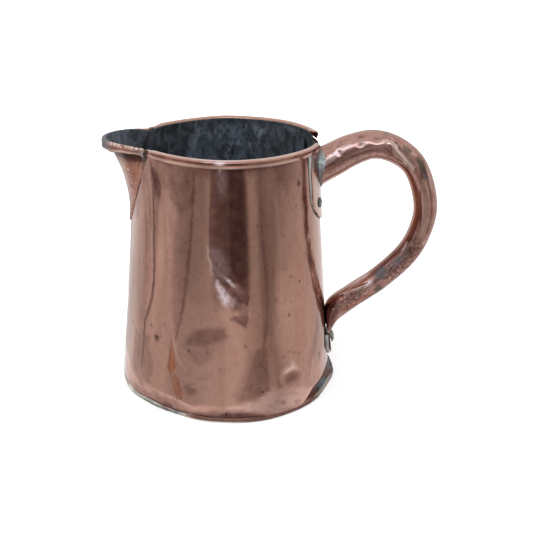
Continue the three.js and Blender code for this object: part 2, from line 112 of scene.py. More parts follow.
def smooth(value, low, high):
    """Rises softly from 0 at low to 1 at high."""
    share = np.clip((value - low) / (high - low), 0.0, 1.0)
    return share * share * (3.0 - 2.0 * share)


def falling(value, low, high):
    """Falls softly from 1 at low to 0 at high."""
    return 1.0 - smooth(value, low, high)


def plateau(value, start, full, fading, end):
    """1 from full to fading, softly rising before and falling after."""
    return smooth(value, start, full) * falling(value, fading, end)


def bell(value, centre, width):
    """1 at the centre, fading on both sides."""
    return np.exp(-((value - centre) / width) ** 2)


def strongest(*strengths):
    """The highest of several strengths at each place."""
    return np.maximum.reduce(np.broadcast_arrays(*strengths))


def around_jug(points, factor):
    """Moves points straight away from the axis, each by its own factor."""
    moved = points.copy()
    moved[:, 0] *= factor
    moved[:, 1] *= factor
    return moved


def wall_radius(height):
    """Outside of the wall at a height, before it is dented and leaned."""
    share = height / RIM_HEIGHT
    tuck = np.maximum(0.0, 1.0 - height / FOOT_TUCK_HEIGHT) ** 2 * FOOT_TUCK
    straight = FOOT_RADIUS + (MOUTH_RADIUS - FOOT_RADIUS) * share
    return straight - 4.0 * WALL_SAG * share * (1.0 - share) - tuck


def leaned(points):
    """From the wall's own axis to the base's: the jug leans and its mouth is drawn in at the spout."""
    across = MOUTH_RADIUS * math.sin(math.radians(SPOUT_HALF_ANGLE))
    inwards = MOUTH_RADIUS * math.cos(math.radians(SPOUT_HALF_ANGLE))
    pinch = smooth(-points[:, 0], 0.0, inwards) * smooth(points[:, 2], SPOUT_KEEL_START, RIM_HEIGHT)
    moved = points.copy()
    moved[:, 0] += FOOT_OFFSET + (MOUTH_OFFSET - FOOT_OFFSET) * points[:, 2] / RIM_HEIGHT
    moved[:, 1] *= 1.0 - MOUTH_PINCH / across * pinch
    return moved


def polar(points):
    """Azimuth in degrees, radius and height of each point."""
    azimuth = np.degrees(np.arctan2(points[:, 1], points[:, 0]))
    return azimuth, np.hypot(points[:, 0], points[:, 1]), points[:, 2]


def spot(azimuth, height, mark):
    """How strongly a mark on the wall is felt: 1 in its middle, 0 well outside it."""
    centre, level, half_width, half_height, tilt, edge = mark
    across = (azimuth - centre + 180.0) % 360.0 - 180.0
    return oval(np.radians(across) * UNROLL_RADIUS, height - level, half_width, half_height, tilt, edge)


def oval(across, up, half_width, half_height, tilt=0.0, edge=0.3):
    """1 inside a tilted oval, softly falling to 0 outside it."""
    lean = math.radians(tilt)
    along = up * math.cos(lean) + across * math.sin(lean)
    aside = across * math.cos(lean) - up * math.sin(lean)
    distance = np.sqrt((aside / half_width) ** 2 + (along / half_height) ** 2)
    return falling(distance, edge, 2.0 - edge)


def reach_to(u, v, start, end):
    """Distance from each place to a straight piece of line, and how far along it the nearest point is."""
    run = np.array(end, float) - start
    share = ((u - start[0]) * run[0] + (v - start[1]) * run[1]) / (run @ run)
    share = np.clip(share, 0.0, 1.0)
    return np.hypot(u - start[0] - share * run[0], v - start[1] - share * run[1]), share


def stroke(u, v, path, half_width):
    """A line that thins out towards its two ends."""
    strength = np.zeros(len(u))
    pieces = len(path) - 1
    for number in range(pieces):
        distance, share = reach_to(u, v, path[number], path[number + 1])
        travel = (number + share) / pieces
        width = half_width * (0.35 + 0.65 * np.sin(np.pi * travel) ** 0.5)
        strength = np.maximum(strength, falling(distance, 0.3 * width, 1.4 * width))
    return strength


def patch(u, v, corners, edge):
    """An area inside straight sides, soft over a width at its edge."""
    nearest = np.full(len(u), 1e9)
    inside = np.zeros(len(u), bool)
    for number, start in enumerate(corners):
        end = corners[(number + 1) % len(corners)]
        distance, _ = reach_to(u, v, start, end)
        nearest = np.minimum(nearest, distance)
        crossing = (start[1] > v) != (end[1] > v)
        rise = end[1] - start[1] if end[1] != start[1] else 1.0
        inside ^= crossing & (u < (end[0] - start[0]) * (v - start[1]) / rise + start[0])
    return smooth(np.where(inside, nearest, -nearest), -edge, edge)


def unrolled(azimuth):
    """Millimetres round the wall from the side that faces the camera."""
    return np.radians((azimuth + 90.0 + 180.0) % 360.0 - 180.0) * UNROLL_RADIUS


def felt(u, v, mark, to_u, to_v=1.0):
    """How strongly a mark of any shape is felt at each place of an unrolled surface."""
    shape, _, size, places = mark
    flat = [(to_u(first), second * to_v) for first, second in places]
    if shape == "line":
        return stroke(u, v, flat, size)
    if shape == "area":
        return patch(u, v, flat, size)
    strength = np.zeros(len(u))
    for place in flat:
        strength = np.maximum(strength, oval(u - place[0], v - place[1], size[0], size[1]))
    return strength


def wavy(points, size, seed):
    """Slow irregular waves between -1 and 1, the same on each run."""
    rng = np.random.default_rng(seed)
    total = np.zeros(len(points))
    for _ in range(5):
        direction = rng.normal(size=3)
        direction /= np.linalg.norm(direction)
        pace = 2.0 * math.pi / (size * rng.uniform(0.7, 1.6))
        total += np.sin(points @ direction * pace + rng.uniform(0.0, 6.28))
    return total / 5.0


def uneven(points, size, seed):
    """The same waves between 0 and 1."""
    return 0.5 + 0.5 * wavy(points, size, seed)


# Modelling

def start_fresh():
    """Leaves edit mode and deselects everything."""
    if bpy.context.object and bpy.context.object.mode != 'OBJECT':
        bpy.ops.object.mode_set(mode='OBJECT')
    bpy.ops.object.select_all(action='DESELECT')


def edit(mode='VERT'):
    """Opens the active mesh for editing with everything in it selected."""
    bpy.ops.object.mode_set(mode='EDIT')
    bpy.ops.mesh.select_mode(type=mode)
    bpy.ops.mesh.select_all(action='SELECT')


def extruded(across, along, up):
    """Extrudes what is selected and moves it, in millimetres."""
    step = (across * MM, along * MM, up * MM)
    bpy.ops.mesh.extrude_region_move(TRANSFORM_OT_translate={"value": step})


def closed_outwards():
    """Turns all faces of the mesh in edit mode outwards, and leaves edit mode."""
    bpy.ops.mesh.select_all(action='SELECT')
    bpy.ops.mesh.normals_make_consistent(inside=False)
    bpy.ops.object.mode_set(mode='OBJECT')


def named(name):
    """Names the active object and its mesh."""
    piece = bpy.context.object
    piece.name = name
    piece.data.name = name
    return piece


def take(piece):
    """Selects one piece and nothing else."""
    start_fresh()
    piece.select_set(True)
    bpy.context.view_layer.objects.active = piece


def settle(piece):
    """Puts the piece's origin in the jug's, unturned and unscaled."""
    take(piece)
    bpy.ops.object.transform_apply(location=True, rotation=True, scale=True)


def points_of(piece):
    """Every vertex of a piece, in millimetres."""
    points = np.empty(len(piece.data.vertices) * 3)
    piece.data.vertices.foreach_get("co", points)
    return points.reshape(-1, 3) / MM


def reshape(piece, rule):
    """Moves every vertex by a rule on an array of points in millimetres."""
    moved = rule(points_of(piece)) * MM
    piece.data.vertices.foreach_set("co", moved.ravel())
    piece.data.update()


def face_vectors(piece, kind):
    """The centre or the normal of every face."""
    vectors = np.empty(len(piece.data.polygons) * 3)
    piece.data.polygons.foreach_get(kind, vectors)
    return vectors.reshape(-1, 3)


def drop_faces(piece, rule):
    """Deletes the faces for whose centres a rule on points in millimetres holds."""
    take(piece)
    edit('FACE')
    bpy.ops.mesh.select_all(action='DESELECT')
    bpy.ops.object.mode_set(mode='OBJECT')
    piece.data.polygons.foreach_set("select", rule(face_vectors(piece, "center") / MM))
    bpy.ops.object.mode_set(mode='EDIT')
    bpy.ops.mesh.delete(type='FACE')
    bpy.ops.object.mode_set(mode='OBJECT')


def modified(piece, kind, **settings):
    """Adds a modifier, sets it and applies it."""
    take(piece)
    bpy.ops.object.modifier_add(type=kind)
    made = piece.modifiers[-1]
    for key, value in settings.items():
        setattr(made, key, value)
    bpy.ops.object.modifier_apply(modifier=made.name)


def drawn_line(profile):
    """A line of vertices through [radius, height] pairs, drawn by extruding one vertex."""
    start_fresh()
    bpy.ops.mesh.primitive_plane_add(size=MM, location=(profile[0][0] * MM, 0.0, profile[0][1] * MM))
    edit()
    bpy.ops.mesh.merge(type='CENTER')
    for before, after in zip(profile, profile[1:]):
        extruded(after[0] - before[0], 0.0, after[1] - before[1])


def turned(name, profile, columns=COLUMNS):
    """A profile of [radius, height] pairs spun round the jug's axis."""
    drawn_line(profile)
    bpy.ops.mesh.select_all(action='SELECT')
    bpy.ops.mesh.spin(steps=columns, angle=2.0 * math.pi, center=(0.0, 0.0, 0.0), axis=(0.0, 0.0, 1.0))
    bpy.ops.mesh.select_all(action='SELECT')
    bpy.ops.mesh.remove_doubles(threshold=WELD * MM)
    closed_outwards()
    piece = named(name)
    settle(piece)
    return piece


def wall_facing_out(piece):
    """Turns an open sheet round the jug so that its faces look away from the axis."""
    if np.sum(face_vectors(piece, "center")[:, :2] * face_vectors(piece, "normal")[:, :2]) < 0.0:
        take(piece)
        edit()
        bpy.ops.mesh.flip_normals()
        bpy.ops.object.mode_set(mode='OBJECT')


def facing_out(piece):
    """Turns a closed piece's faces outwards."""
    take(piece)
    edit()
    closed_outwards()


def block(name, outline, near, far, angle=0.0):
    """A flat outline of [across, height] pairs, extruded outwards from the axis at an azimuth."""
    start_fresh()
    bpy.ops.mesh.primitive_circle_add(vertices=len(outline), radius=MM, fill_type='NGON')
    piece = named(name)
    flat = np.array([[near, across, height] for across, height in outline])
    reshape(piece, lambda points: flat)
    edit()
    extruded(far - near, 0.0, 0.0)
    closed_outwards()
    piece.rotation_euler[2] = math.radians(angle)
    settle(piece)
    return piece


def cut(piece, cutter, operation='DIFFERENCE'):
    """Cuts a piece with another, which is then removed."""
    modified(piece, 'BOOLEAN', operation=operation, object=cutter, solver='EXACT')
    bpy.data.objects.remove(cutter)


def rod(name, path, radii):
    """A round bead of solder or wire along a path of points, its radius given at each of them."""
    path = np.asarray(path, float)
    radii = np.asarray(radii, float)
    along = np.gradient(path, axis=0)
    along /= np.linalg.norm(along, axis=1)[:, None]
    start_fresh()
    bpy.ops.mesh.primitive_circle_add(vertices=BEAD_SIDES, radius=MM, fill_type='NGON')
    edit()
    for _ in path[1:]:
        extruded(0.0, 0.0, 1.0)
    bpy.ops.object.mode_set(mode='OBJECT')
    piece = named(name)

    def follow(points):
        ring = np.clip(np.round(points[:, 2]).astype(int), 0, len(path) - 1)
        aside = np.cross(along[ring], [0.0, 0.0, 1.0])
        flat = np.linalg.norm(aside, axis=1) < 0.01
        aside[flat] = [1.0, 0.0, 0.0]
        aside /= np.linalg.norm(aside, axis=1)[:, None]
        over = np.cross(aside, along[ring])
        wide = points[:, :1] * radii[ring, None]
        deep = points[:, 1:2] * radii[ring, None]
        return path[ring] + aside * wide + over * deep

    reshape(piece, follow)
    facing_out(piece)
    return piece


def painted(piece, name, strengths):
    """Keeps a strength at each vertex for the finish to read."""
    layer = piece.data.attributes.get(name)
    if layer is None:
        layer = piece.data.attributes.new(name, 'FLOAT', 'POINT')
    layer.data.foreach_set("value", np.clip(strengths, 0.0, 1.0).astype(np.float32))


def kept(piece, name):
    """The strengths that were painted on a piece, after a modifier has added to its vertices."""
    values = np.empty(len(piece.data.vertices), np.float32)
    piece.data.attributes[name].data.foreach_get("value", values)
    return values


def wall_marks(points, marks, ragged=0.5):
    """The strongest of a list of marks on the wall, their edges made a little ragged."""
    azimuth, _, height = polar(points)
    u = unrolled(azimuth)
    flat = np.column_stack([u, height, 0.0 * u])
    u = u + ragged * wavy(flat, 5.0, 101)
    v = height + ragged * wavy(flat, 5.0, 102)
    total = np.zeros(len(u))
    for mark in marks:
        total = np.maximum(total, mark[1] * felt(u, v, mark, unrolled))
    return total


# Finishes

def colour(code):
    """A colour written as six hexadecimal digits, as the shader wants it."""
    parts = [int(code[i:i + 2], 16) / 255.0 for i in (1, 3, 5)]
    linear = [part / 12.92 if part < 0.04045 else ((part + 0.055) / 1.055) ** 2.4 for part in parts]
    return tuple(linear) + (1.0,)


class Nodes:
    """A tree of shader nodes, added one call at a time."""

    def __init__(self, tree):
        self.tree = tree

    def add(self, kind, inputs=(), **settings):
        made = self.tree.nodes.new(kind)
        for key, value in settings.items():
            setattr(made, key, value)
        for key, value in dict(inputs).items():
            if isinstance(value, bpy.types.NodeSocket):
                self.tree.links.new(value, made.inputs[key])
            else:
                made.inputs[key].default_value = value
        return made

    def range(self, value, low, high, to_low=0.0, to_high=1.0):
        inputs = {0: value, 1: low, 2: high, 3: to_low, 4: to_high}
        return self.add("ShaderNodeMapRange", inputs).outputs[0]

    def math(self, operation, first, second=0.0):
        return self.add("ShaderNodeMath", {0: first, 1: second}, operation=operation).outputs[0]

    def seen(self):
        """1 for the rays that show the background, straight, mirrored or through glass."""
        kind = self.add("ShaderNodeLightPath").outputs
        mirrored = self.math('MAXIMUM', kind["Is Camera Ray"], kind["Is Glossy Ray"])
        return self.math('MAXIMUM', mirrored, kind["Is Transmission Ray"])


class Finish(Nodes):
    """A material, with the noises and mixes that its look is built from."""

    def __init__(self, name):
        self.material = bpy.data.materials.new(name)
        self.material.use_nodes = True
        super().__init__(self.material.node_tree)
        self.shader = self.tree.nodes["Principled BSDF"]
        self.place = self.add("ShaderNodeTexCoord").outputs["Object"]

    def set(self, name, value):
        if isinstance(value, bpy.types.NodeSocket):
            self.tree.links.new(value, self.shader.inputs[name])
        else:
            self.shader.inputs[name].default_value = value

    def scaled(self, scale, offset=(0.0, 0.0, 0.0)):
        return self.add("ShaderNodeMapping", {0: self.place, 1: offset, 3: scale}).outputs[0]

    def noise(self, scale, detail=3.0, stretch=(1.0, 1.0, 1.0), offset=(0.0, 0.0, 0.0), distortion=0.0):
        inputs = {"Vector": self.scaled(stretch, offset), "Scale": scale, "Detail": detail}
        return self.add("ShaderNodeTexNoise", {**inputs, "Distortion": distortion}).outputs["Fac"]

    def cells(self, scale):
        inputs = {"Vector": self.scaled((1.0, 1.0, 1.0)), "Scale": scale}
        return self.add("ShaderNodeTexVoronoi", inputs).outputs["Distance"]

    def ramp(self, value, stops):
        made = self.add("ShaderNodeValToRGB", {0: value})
        elements = made.color_ramp.elements
        while len(elements) < len(stops):
            elements.new(0.5)
        for element, (position, shade) in zip(elements, stops):
            element.position = position
            element.color = shade
        return made.outputs["Color"]

    def toned(self, base, share, code):
        """Lays a colour over another, by a share."""
        return self.mix(share, base, colour(code))

    def both(self, first, second):
        return self.math('MULTIPLY', first, second)

    def mix(self, share, first, second):
        inputs = {0: share, 6: first, 7: second}
        return self.add("ShaderNodeMix", inputs, data_type='RGBA').outputs[2]

    def mark(self, name):
        return self.add("ShaderNodeAttribute", attribute_name=name).outputs["Fac"]

    def bump(self, height, strength, distance, normal=None):
        inputs = {"Strength": strength, "Distance": distance, "Height": height}
        if normal is not None:
            inputs["Normal"] = normal
        return self.add("ShaderNodeBump", inputs).outputs["Normal"]


def tin_look(finish):
    """Dark tarnished tin: nearly black with a green cast, and lighter lilac-grey smears."""
    broad = finish.noise(60.0, 6.0, (1.0, 1.0, 0.7), (0.3, 0.1, 0.0), 0.5)
    smear = finish.noise(190.0, 7.0, (1.0, 1.0, 0.6), (0.6, 0.1, 0.2), 0.5)
    fine = finish.noise(420.0, 6.0)
    base = finish.toned(colour("#525a5e"), finish.range(broad, 0.44, 0.6), "#7d8694")
    base = finish.toned(base, finish.range(smear, 0.5, 0.62, 0.0, 0.6), "#9a9fb0")
    base = finish.toned(base, finish.range(fine, 0.5, 0.36, 0.0, 0.65), "#2b302f")
    lit = finish.both(finish.mark("bright"), finish.range(smear, 0.42, 0.58, 0.2, 1.0))
    base = finish.toned(base, lit, "#c3cbd6")
    return finish.toned(base, finish.mark("black"), "#0f1110")


# What can be painted at the vertices, the later over the earlier. Besides tarnish, stains and wear,
# the dark paints also carry painted shade and dark painted reflections, and the light ones painted
# highlights and reflections
PAINTS = {
    "brown": "#5e3a37",
    "stain_and_shade": "#482c26",
    "warm": "#a4674b",
    "pale": "#d2b7aa",
    "pink_highlight": "#d8b0a5",
    "lilac": "#e6ced0",
    "cream": "#e6e5d8",
    "grey": "#6b6668",
    "olive": "#544d41",
    "green": "#7d867c",
}
SOLDER_PAINTS = {"black": "#1d1512", "bright": "#d8dcd8", "brown": "#6b4738", "copper": "#b98d7c"}

# How much of the metal's shine a paint takes, and how much rougher it makes the surface. The lilac
# and cream paints lose most of their shine, so that the highlights painted with them stay light
# whatever the copper mirrors
DULLED = {"green": 0.6, "lilac": 0.75, "cream": 0.75, "grey": 0.5, "olive": 0.4, "lining": 0.6}
ROUGHER = {"brown": 0.05, "grey": 0.15, "green": 0.3, "lining": 0.3}


def copper_finish(name, tone, shade, glow, roughness, age=0.3):
    """Polished copper gone brown in streaks, with worn, stained and tinned places painted on, and painted
    highlights, reflections and shade.
    """
    finish = Finish(name)
    broad = finish.noise(16.0, 3.0, (1.0, 1.0, 0.4))
    streak = finish.noise(90.0, 4.0, (1.0, 1.0, 0.07), (0.2, 0.5, 0.0))
    mottle = finish.noise(210.0, 7.0, (1.0, 1.0, 0.8), distortion=0.4)
    grain = finish.noise(900.0, 3.0)
    base = finish.toned(colour(tone), finish.range(broad, 0.35, 0.7), shade)
    base = finish.toned(base, finish.range(streak, 0.54, 0.72, 0.0, 0.3), "#85594d")
    base = finish.toned(base, finish.range(streak, 0.44, 0.26, 0.0, 0.35), glow)
    base = finish.toned(base, finish.range(mottle, 0.5, 0.72, 0.0, age), "#8f6659")
    base = finish.toned(base, finish.range(mottle, 0.46, 0.3, 0.0, age - 0.2), glow)
    breakup = finish.range(mottle, 0.34, 0.58, 0.78, 1.0)
    for paint, code in PAINTS.items():
        base = finish.toned(base, finish.both(finish.mark(paint), breakup), code)
    fleck = finish.range(finish.noise(560.0, 5.0, offset=(0.4, 0.2, 0.9)), 0.44, 0.56)
    worn_through = finish.toned(colour("#8f6d62"), fleck, "#e6cdc1")
    base = finish.mix(finish.mark("flecked"), base, worn_through)
    pitting = finish.noise(480.0, 8.0, offset=(0.5, 0.1, 0.3), distortion=0.3)
    pitted = finish.mark("pitted")
    base = finish.toned(base, finish.both(pitted, finish.range(pitting, 0.5, 0.62, 0.0, 0.75)), "#553a34")
    base = finish.toned(base, finish.both(pitted, finish.range(pitting, 0.42, 0.34, 0.0, 0.6)), "#dcbdb0")
    speck = finish.range(finish.noise(430.0, 2.0, offset=(0.7, 0.0, 0.4)), 0.68, 0.75)
    base = finish.toned(base, finish.both(speck, 0.6), "#4b2e28")
    pit = finish.range(finish.cells(95.0), 0.09, 0.05)
    rare = finish.range(finish.noise(60.0, 1.0, offset=(0.1, 0.9, 0.2)), 0.55, 0.65)
    base = finish.toned(base, finish.both(pit, rare), "#3c221d")
    base = finish.mix(finish.mark("lining"), base, tin_look(finish))
    finish.set("Base Color", finish.toned(base, finish.mark("soot_and_shade"), "#1c1210"))
    metal = 1.0
    for paint, share in DULLED.items():
        metal = finish.math('SUBTRACT', metal, finish.both(finish.mark(paint), share))
    finish.set("Metallic", metal)
    worn = finish.range(mottle, 0.3, 0.7, roughness - 0.03, roughness + 0.05)
    for paint, share in ROUGHER.items():
        worn = finish.math('ADD', worn, finish.both(finish.mark(paint), share))
    finish.set("Roughness", worn)
    scratch = finish.noise(260.0, 2.0, (1.0, 1.0, 14.0), (0.0, 0.3, 0.1))
    waves = finish.bump(finish.noise(42.0, 2.0, (1.0, 1.0, 0.6)), 0.25, 0.0009)
    marks = finish.bump(mottle, 0.14, 0.0003, waves)
    finish.set("Normal", finish.bump(finish.math('ADD', grain, scratch), 0.1, 0.00006, marks))
    return finish.material


def solder_finish(name, dark, light, green):
    """Lumpy grey solder with green and rusty places."""
    finish = Finish(name)
    lump = finish.noise(150.0, 5.0, offset=(0.2, 0.3, 0.5))
    fine = finish.noise(520.0, 6.0)
    base = finish.toned(colour(dark), finish.range(lump, 0.36, 0.64), light)
    base = finish.toned(base, finish.range(finish.noise(80.0, 3.0), 0.52, 0.68, 0.0, 0.7), green)
    base = finish.toned(base, finish.range(fine, 0.55, 0.75, 0.0, 0.7), "#2c2f2e")
    for paint, code in SOLDER_PAINTS.items():
        base = finish.toned(base, finish.mark(paint), code)
    finish.set("Base Color", base)
    finish.set("Metallic", 0.75)
    finish.set("Roughness", finish.range(lump, 0.3, 0.7, 0.36, 0.55))
    finish.set("Normal", finish.bump(fine, 0.5, 0.0004, finish.bump(lump, 0.8, 0.0016)))
    return finish.material


def iron_finish():
    """Rusty wire."""
    finish = Finish("rusted_wire")
    rust = finish.noise(300.0, 6.0)
    finish.set("Base Color", finish.toned(colour("#2b2522"), finish.range(rust, 0.4, 0.6), "#5b3a28"))
    finish.set("Metallic", 0.8)
    finish.set("Roughness", 0.65)
    finish.set("Normal", finish.bump(rust, 0.6, 0.0003))
    return finish.material


def rivet_finish():
    """Copper rivets gone grey and green, with the metal's colour in places."""
    finish = Finish("dull_rivet")
    worn = finish.noise(260.0, 6.0)
    base = finish.toned(colour("#6a6c61"), finish.range(worn, 0.38, 0.62), "#a2aa9d")
    base = finish.toned(base, finish.range(finish.noise(140.0, 3.0), 0.55, 0.7, 0.0, 0.8), "#8a5d49")
    finish.set("Base Color", base)
    finish.set("Metallic", 0.55)
    finish.set("Roughness", finish.range(worn, 0.3, 0.7, 0.34, 0.52))
    finish.set("Normal", finish.bump(worn, 0.6, 0.0005))
    return finish.material


body_copper = copper_finish("body_copper", "#b78f81", "#a98070", "#c2978a", 0.12)
spout_copper = copper_finish("spout_copper", "#b58474", "#9c6d5e", "#c69888", 0.2, 0.45)
handle_copper = copper_finish("handle_copper", "#b18a80", "#9a736a", "#c9a196", 0.15, 0.6)
base_copper = copper_finish("base_copper", "#a07668", "#7d574b", "#b58c7d", 0.24)
joint_solder = solder_finish("joint_solder", "#4d585e", "#a9b8c0", "#76897e")
seam_solder = solder_finish("seam_solder", "#4a4a4c", "#77808a", "#5d675f")
thin_solder = solder_finish("thin_solder", "#7b7f7b", "#b9c1bd", "#8b9c90")
wire_iron = iron_finish()
rivet_metal = rivet_finish()


def finished(piece, finish, replaced, angle, lean=True):
    """Leans a piece with the jug, smooths it and gives it its finish and its place in the frame."""
    if lean:
        reshape(piece, leaned)
    take(piece)
    bpy.ops.object.shade_smooth_by_angle(angle=math.radians(angle))
    piece.data.materials.clear()
    piece.data.materials.append(finish)
    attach(piece, "root")
    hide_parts(replaced)


# Body: the wall, its rolled rim and the lap inside

# Where the wall is pushed in or out. A mark is its shape, its strength (here millimetres, inwards
# positive), its size, and the places it goes through as azimuth and height. The size is a half
# width for a line, a soft edge for an area and half sizes for spots, in millimetres.
WALL_FORMS = [
    ("line", 0.15, 1.8, [(-141, 162), (-137, 145), (-134, 122), (-132, 100), (-133, 80), (-136, 65),
        (-138, 52), (-139, 33), (-141, 22)]),
    ("line", -0.3, 5.0, [(-147, 158), (-143, 128), (-140, 100), (-143, 70), (-146, 55)]),
    ("line", -0.3, 5.0, [(-128, 150), (-126, 110), (-127, 70), (-130, 40)]),
    ("line", 0.2, 2.5, [(-145, 52), (-147, 36), (-146, 23), (-141, 17), (-135, 13), (-131, 14)]),
    ("line", 0.15, 3.0, [(-66, 163), (-66, 117), (-64, 78), (-65, 61), (-66, 52)]),
    ("line", -0.15, 3.5, [(-59, 150), (-58, 110), (-58, 66)]),
    ("line", 0.15, 1.6, [(-28, 96), (-24, 83), (-21, 76), (-16, 65)]),
    ("line", 0.4, 0.9, [(-116.8, 56), (-117.5, 46), (-118, 34), (-115.4, 24), (-113, 14)]),
    ("line", 0.4, 0.8, [(-33, 32), (-34, 10)]),
    ("spots", 1.2, (13.0, 7.0), [(-98, 57)]),
    ("spots", -1.0, (9.0, 10.0), [(-93, 82)]),
    ("spots", 0.9, (4.5, 6.0), [(-82, 88)]),
    ("spots", 1.0, (4.2, 4.2), [(-106, 20)]),
    ("spots", 1.0, (8.0, 14.0), [(-67, 30)]),
    ("spots", 1.1, (7.0, 5.2), [(-50.5, 24)]),
    ("spots", -0.7, (6.0, 2.6), [(-50, 35)]),
    ("spots", -0.7, (22.0, 4.5), [(-68, 11), (-45, 8)]),
    ("spots", 0.9, (20.0, 3.5), [(-130, 8)]),
    ("area", -0.2, 0.9, [(-88, 101), (-85, 102), (-82.5, 97), (-86, 97)]),
    ("area", -0.25, 1.2, [(-93, 101), (-90, 98), (-87, 90), (-83, 82), (-85, 78), (-89, 86), (-93, 93)]),
    ("area", 0.2, 1.0, [(-84, 73), (-80, 76), (-75, 80), (-75, 73), (-76, 66), (-79, 69)]),
    ("area", -0.4, 1.2, [(-57, 30), (-50, 35), (-43, 26)]),
    ("spots", 1.0, (13.0, 18.0), [(60, 70), (118, 112)]),
    ("spots", 1.2, (10.0, 8.0), [(95, 40), (180, 60)]),
    ("spots", -0.7, (12.0, 26.0), [(75, 120), (160, 96)]),
    ("line", 0.6, 2.2, [(142, 150), (148, 110), (146, 70), (150, 30)]),
    ("line", 0.5, 2.0, [(104, 90), (100, 60), (104, 26)]),
    ("line", 0.5, 2.4, [(28, 140), (30, 100), (26, 60)]),
    ("spots", 0.9, (5.0, 5.0), [(35, 40), (130, 20), (170, 34), (78, 16)]),
]

# Where the wall is finely crinkled, at the foot of the dark band in front
CRINKLE = [(-96, 113), (-92, 110), (-88, 103), (-83, 98), (-80, 90), (-80, 84), (-86, 79), (-91, 84),
           (-94, 95)]

# Where the base's edge is knocked in, or bulges when negative: azimuth, depth and half width
BASE_DENTS = [(-122.0, 2.5, 17.0), (-138.0, 0.6, 8.0), (-58.0, -1.7, 30.0), (-24.0, 1.3, 11.0),
              (14.0, 2.6, 17.0)]


def base_dent(azimuth):
    """How far inwards the base's edge is out of round."""
    total = np.zeros(len(azimuth))
    for centre, depth, half_width in BASE_DENTS:
        total += depth * spot(azimuth, 2.0, (centre, 2.0, half_width, 12.0, 0.0, 0.2))
    return total


def worn_low(azimuth):
    """Where the base's edge is worn down: a little on the left, and in front to the right."""
    to_left = plateau(-azimuth, 100.0, 112.0, 165.0, 178.0)
    to_right = plateau(azimuth, -80.0, -68.0, -44.0, -34.0)
    return np.maximum(0.2 * to_left, 0.8 * to_right)


def spread_there(azimuth):
    """Where the wall's foot is beaten out to the base's edge: in front and to the left."""
    return plateau(azimuth, -170.0, -150.0, -50.0, -28.0)


# How high the beaten foot reaches, as azimuth and height
SPREAD_TOP = np.array([(-170, 6.0), (-145, 7.5), (-134, 10.0), (-120, 15.0), (-108, 9.0), (-100, 6.5),
                       (-88, 9.0), (-40, 10.5)])
FOOT_INSIDE_EDGE = 1.2


def foot_spread(azimuth, height):
    """How far the foot is beaten outwards, or inwards where the base's edge is knocked in."""
    top = np.interp(azimuth, SPREAD_TOP[:, 0], SPREAD_TOP[:, 1])
    foot = FOOT_RADIUS - FOOT_TUCK + FOOT_OFFSET * np.cos(np.radians(azimuth))
    gap = BASE_RADIUS - FOOT_INSIDE_EDGE - foot
    return (gap - base_dent(azimuth)) * spread_there(azimuth) * falling(height, 0.5, top)


def dented(points):
    """Pushes the wall in and out at its dents, and out of round a little."""
    azimuth, radius, height = polar(points)
    u = unrolled(azimuth)
    push = np.zeros(len(points))
    for mark in WALL_FORMS:
        push -= mark[1] * felt(u, height, mark, unrolled)
    push += 0.3 * wavy(points * [1.0, 1.0, 0.45], 46.0, 3) * smooth(height, 4.0, 30.0)
    crinkle = [(unrolled(at), level) for at, level in CRINKLE]
    push += 0.2 * wavy(points, 5.5, 9) * patch(u, height, crinkle, 2.0)
    push += 0.1 * (1.7 - 0.7 * smooth(height, 35.0, 85.0)) * wavy(points * [1.0, 1.0, 0.7], 15.0, 8)
    push += foot_spread(azimuth, height)
    moved = around_jug(points, (radius + push) / radius)
    roll = smooth(height, ROLL_HEIGHT - 4.0, ROLL_HEIGHT)
    moved[:, 2] += roll * 0.2 * wavy(points * [1.0, 1.0, 0.1], 30.0, 12)
    return moved


def gathered(points):
    """Draws the wall's columns closer together on the side with the finest dents."""
    azimuth, radius, _ = polar(points)
    turned_by = np.radians(azimuth) - 0.5 * np.sin(np.radians(azimuth + 95.0))
    moved = points.copy()
    moved[:, 0] = radius * np.cos(turned_by)
    moved[:, 1] = radius * np.sin(turned_by)
    return moved


def tapered_rim(points):
    """Lets the rolled rim run down into the spout's lip on either side of it."""
    azimuth, radius, height = polar(points)
    to_back = smooth(azimuth % 360.0, SPOUT_BACK_ROOT - 12.0, SPOUT_BACK_ROOT)
    to_front = falling(azimuth % 360.0, SPOUT_FRONT_ROOT, SPOUT_FRONT_ROOT + 9.0)
    at_spout = between(azimuth, SPOUT_BACK_ROOT - 13.0, SPOUT_FRONT_ROOT + 10.0)
    near = np.minimum(to_back, to_front) * at_spout
    near *= smooth(height, ROLL_HEIGHT - 3.5, ROLL_HEIGHT - 1.0)
    shrunk = ROLL_RADIUS - 1.2 * near + (radius - ROLL_RADIUS) * (1.0 - 0.3 * near)
    moved = around_jug(points, shrunk / radius)
    moved[:, 2] = height - near * (0.6 + 0.35 * (height - ROLL_HEIGHT))
    return moved


def body_profile():
    """The wall from its foot up, and the sheet rolled out round the wire."""
    levels = np.concatenate([np.linspace(1.2, 60.0, 28), np.linspace(61.4, 115.0, 39),
                             np.linspace(116.9, ROLL_HEIGHT, 31)])
    wall = [(wall_radius(height), height) for height in levels]
    roll = []
    round_wire = [(WIRE_OUT, angle) for angle in range(165, -41, -15)]
    for reach, angle in round_wire + [(1.9, -54.0), (2.3, -65.0), (2.8, -73.0)]:
        turn = math.radians(angle)
        roll.append((ROLL_RADIUS + reach * math.cos(turn), ROLL_HEIGHT + reach * math.sin(turn)))
    return wall + roll


def between(azimuth, start, end):
    """Whether an azimuth lies on the way round from one to another."""
    return (azimuth - start) % 360.0 < (end - start) % 360.0


def spout_seam(height):
    """Half the angle between the spout's two edges."""
    foot = SPOUT_FOOT - 1.5
    share = np.clip((height - foot) / (SPOUT_LIP - foot), 0.0, 1.0)
    return np.radians(SPOUT_HALF_ANGLE) * share ** SPOUT_SEAM_POWER


def spout_channel(height):
    """Half the angle of the cut mouth behind it."""
    seam = spout_seam(height)
    return np.maximum(seam - SPOUT_LAP / wall_radius(height), 0.35 * seam)


